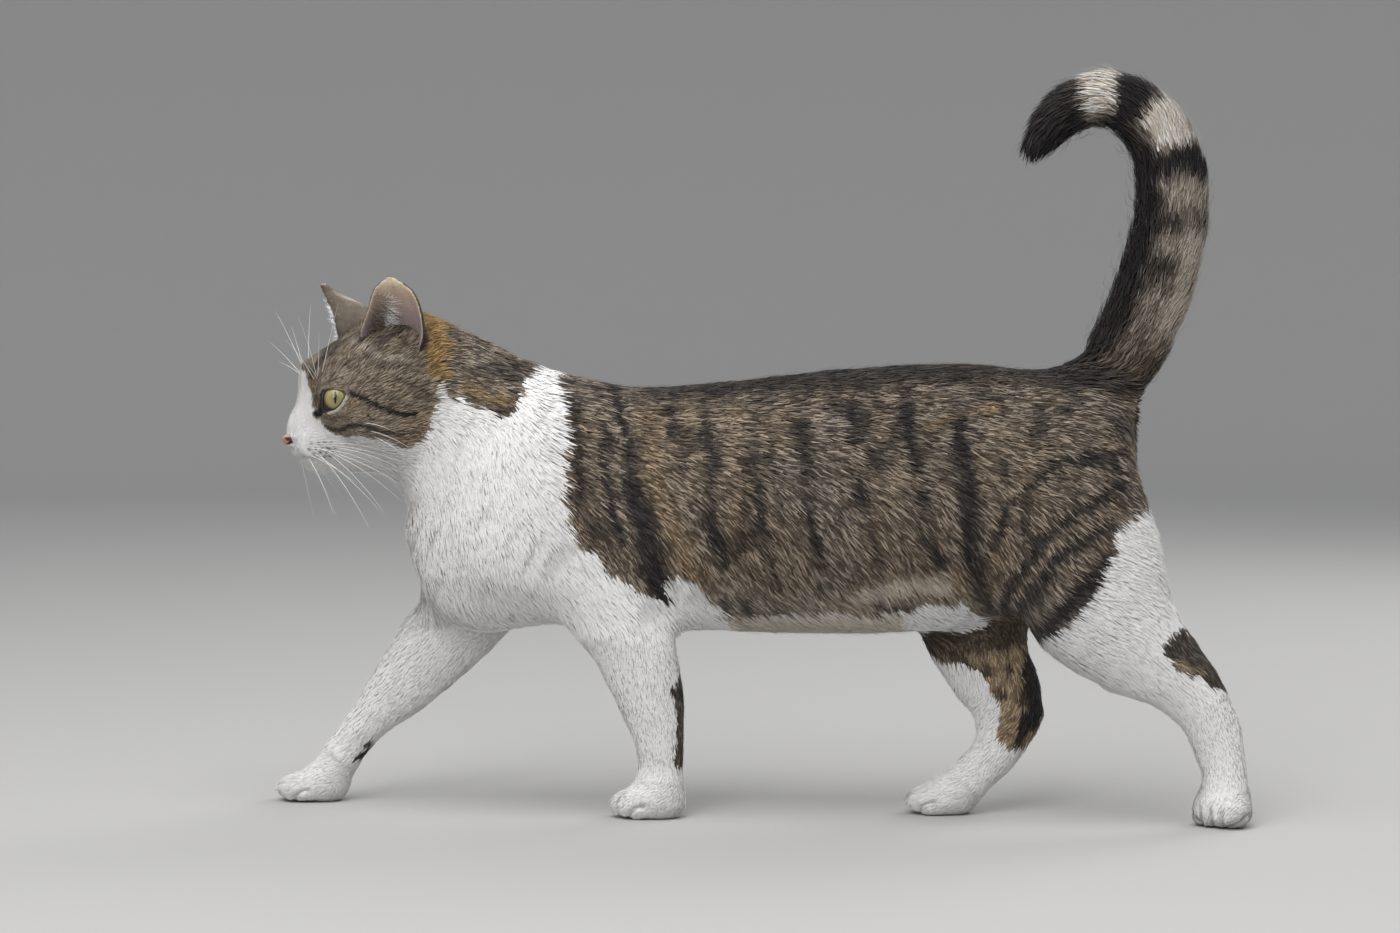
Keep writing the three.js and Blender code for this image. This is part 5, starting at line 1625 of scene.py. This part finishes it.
# The nostrils and the crease down the middle are painted dark, as painted shade in their hollows.
dark = np.zeros(len(points))
for hand in HANDS.values():
    hole = NOSTRIL * [1, hand, 1]
    away = np.linalg.norm((points - hole + [1.4, 0, 0]) * [0.5, 1.0, 1.2], axis=1)
    slit = np.linalg.norm((points - hole - [-2.0, hand * 1.4, 0.8]) * [0.45, 0.9, 1.8], axis=1)
    dark = np.maximum(dark, np.maximum(ramp(away, 1.9, 0.8), 0.85 * ramp(slit, 1.6, 0.7)))
dark = np.maximum(dark, 0.45 * crease)
colour = mix(np.broadcast_to(LEATHER_PINK, points.shape), LEATHER_TOP, ramp(up, 0.2, 2.6))
paint(nose.data, "leather", mix(colour, LEATHER_SHADE, dark))

leather, shader = principled(
    "nose_leather", 0.6, Specular_IOR_Level=0.3, Subsurface_Weight=0.15, Subsurface_Scale=1.0 * MM
)
pebbles = fixed_pattern(leather, "ShaderNodeTexVoronoi", Scale=1900.0).outputs["Distance"]
painted_and_toned(leather, shader, "leather", pebbles, 0.0, 0.7, 1.06, 0.82)
embossed(leather, shader, pebbles, 0.35, 0.15 * MM, sunk=True)
nose.data.materials.append(leather)
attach(nose, "root")
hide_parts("nose")

# ---- the paw pads and claws ----------------------------------------------------------------------
# Under each paw are four toe pads and one broad pad of bare grey-pink skin, flat where the cat's
# weight rests on them. Over each toe the tip of a drawn-in claw just shows through the hair.
TOE_PADS = [(9.0, -4.3), (9.0, 4.3), (4.5, -9.0), (4.5, 9.0)]  # forward, across, mm
TOE_PAD_SIZE, MAIN_PAD_SIZE = (3.6, 2.8, 1.2), (7.0, 7.5, 1.6)  # half sizes
MAIN_PAD_AHEAD = -1.5
PAD_LIFT = 0.12  # of its flat side over the floor
CLAW_LENGTH, CLAW_RADIUS = 3.6, 0.6
HIND_SIZE = 0.94  # of a hind paw to a front one
PAD_MIDDLE_HEIGHT = 0.8  # of its half height
CLAW_TIP_RADIUS, CLAW_HEIGHT = 0.06, 6.0
CLAW_AHEAD, CLAW_SPREAD = 6.5, 1.1  # from its toe's pad
CLAW_FALL = 0.75  # mm down for each mm forward

pad_skin, shader = principled("pad_skin", 0.68, Specular_IOR_Level=0.35)
pebbles = fixed_pattern(pad_skin, "ShaderNodeTexVoronoi", Scale=1100.0).outputs["Distance"]
two_toned(pad_skin, shader, pebbles, (0.16, 0.115, 0.105), (0.085, 0.055, 0.053))
embossed(pad_skin, shader, pebbles, 0.5, 0.25 * MM, sunk=True)

horn, shader = principled("claw_horn", 0.3, Specular_IOR_Level=0.5, Coat_Weight=0.2)
streaks = fixed_pattern(horn, "ShaderNodeTexNoise", Scale=700.0, Detail=3.0).outputs["Fac"]
two_toned(horn, shader, streaks, (0.42, 0.36, 0.30), (0.66, 0.60, 0.53))

PADS = [*((*toe, TOE_PAD_SIZE) for toe in TOE_PADS), (MAIN_PAD_AHEAD, 0.0, MAIN_PAD_SIZE)]
for leg in PAW_TURN:
    size = HIND_SIZE if leg.startswith("hind") else 1.0
    turn = math.pi + math.radians(PAW_TURN[leg])
    forward = Vector((math.cos(turn), math.sin(turn), 0))
    left = Vector((-forward.y, forward.x, 0))
    sole = Vector(soles["sole_" + leg])
    pads, claws = [], []
    for ahead, aside, sizes in PADS:
        place = sole + (forward * ahead + left * aside) * (size * MM)
        bpy.ops.mesh.primitive_uv_sphere_add(
            segments=28, ring_count=16, radius=MM, scale=Vector(sizes) * size, rotation=(0, 0, turn),
            location=place + Vector((0, 0, sizes[2] * PAD_MIDDLE_HEIGHT * MM)),
        )
        pad = bpy.context.object
        bpy.ops.object.transform_apply(location=True, rotation=True, scale=True)
        flat = read_vertices(pad.data)
        flat[:, 2] = np.maximum(flat[:, 2], PAD_LIFT * MM)
        write_vertices(pad.data, flat)
        pads.append(pad)
    for ahead, aside in TOE_PADS:
        place = sole + (forward * (ahead + CLAW_AHEAD) + left * (aside * CLAW_SPREAD)) * (size * MM)
        bpy.ops.mesh.primitive_cone_add(
            vertices=12, radius1=CLAW_RADIUS * MM, radius2=CLAW_TIP_RADIUS * MM,
            depth=CLAW_LENGTH * MM, location=place + Vector((0, 0, CLAW_HEIGHT * MM)),
            rotation=(forward - Vector((0, 0, CLAW_FALL))).to_track_quat("Z", "Y").to_euler(),
        )
        claws.append(bpy.context.object)
    pad = joined(pads, "paw_pads_" + leg)
    bpy.ops.object.shade_smooth()
    pad.data.materials.append(pad_skin)
    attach(pad, "root")
    claw = joined(claws, "claws_" + leg)
    bpy.ops.object.transform_apply(location=True, rotation=True, scale=True)
    bpy.ops.object.shade_smooth_by_angle(angle=math.radians(40))
    claw.data.materials.append(horn)
    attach(claw, "root")

# ---- the whiskers --------------------------------------------------------------------------------
# Stiff white hairs, thick at the root and drawn out to nothing: rows on the whisker pads, a few
# over each eye and on each cheek. Each curves back and down under its own weight.
WHISKER_RADIUS = 0.20  # at the root, mm
TIP_SHARE = 0.12  # of it at the tip
SAG, BOW = 0.10, 0.10  # how far its middle hangs and stands out, of its length
CLEAR = 2.4 * MM  # the tips end this far outside the rest of the cat at most
# Where each grows on the left of the head, mm ahead, across and up, and how far its tip lies from
# there, mm back, outward and up.
PAD_WHISKERS = [
    ((47, 9, -35.0), (20, 26, 2)), ((46, 10, -36.8), (34, 27, -8)), ((47, 9, -38.4), (30, 26, -20)),
    ((43, 12, -34.6), (42, 27, -4)), ((42, 13, -36.4), (46, 26, -22)), ((43, 12, -38.6), (34, 25, -34)),
    ((39, 14, -34.8), (50, 25, -12)), ((38.5, 15, -36.8), (46, 24, -33)), ((40, 14, -39.2), (24, 23, -42)),
    ((35.5, 16, -36.0), (34, 22, -10)), ((36, 16, -38.4), (32, 22, -38)), ((45, 10, -40.2), (12, 20, -36)),
]
BROW_WHISKERS = [
    ((37, 11, 3.5), (-16, 16, 40)), ((38, 12, 2.5), (-4, 22, 30)), ((36, 14, 3.5), (6, 20, 44)),
    ((39, 10, 2.0), (-22, 14, 26)), ((37, 13, 2.0), (-14, 22, 12)),
]
CHEEK_WHISKERS = [
    ((14, 27, -23), (24, 14, -11)), ((12, 28, -25.5), (20, 13, -14)), ((16, 27, -20), (15, 14, -4)),
]
RIGHT_LIMIT, LEFT_LIMIT = cad_box[1].y + CLEAR, cad_box[0].y - CLEAR


def whisker_lines():
    rng = np.random.default_rng(23)
    for hand in HANDS.values():
        for (ahead, aside, up), reach in [*PAD_WHISKERS, *BROW_WHISKERS, *CHEEK_WHISKERS]:
            back, out, rise = np.array(reach) * rng.uniform(0.88, 1.08)
            way = to_world((-back, hand * out, rise)) * MM
            mark = Vector(from_head([ahead, hand * aside, up]))
            skin_there, outward, *_ = skin_surface.find_nearest(mark)
            start = skin_there - outward * (0.5 * MM)
            hang = Vector((0, 0, -1)) * way.length * SAG
            control = start + way * 0.5 - hang + to_world((0, hand, 0)) * way.length * BOW
            line = [
                start * (1 - t) ** 2 + control * 2 * t * (1 - t) + (start + way) * t * t
                for t in np.linspace(0, 1, 12)
            ]
            yield [(p.x, min(max(p.y, LEFT_LIMIT), RIGHT_LIMIT), max(p.z, MM)) for p in line]


curve = round_curve("whiskers", WHISKER_RADIUS * MM, 1)
curve.use_fill_caps = True
for line in whisker_lines():
    spline = curve.splines.new("POLY")
    spline.points.add(len(line) - 1)
    for point, place, taper in zip(spline.points, line, np.linspace(1, 0, len(line))):
        point.co = (*place, 1)
        point.radius = TIP_SHARE + (1 - TIP_SHARE) * taper**0.8
whiskers = as_mesh(curve)

bristle, shader = principled("whisker", 0.35, Specular_IOR_Level=0.5)
grain = fixed_pattern(bristle, "ShaderNodeTexNoise", Scale=300.0, Detail=2.0).outputs["Fac"]
two_toned(bristle, shader, grain, (0.74, 0.73, 0.71), (0.92, 0.92, 0.91))
whiskers.data.materials.append(bristle)
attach(whiskers, "root")
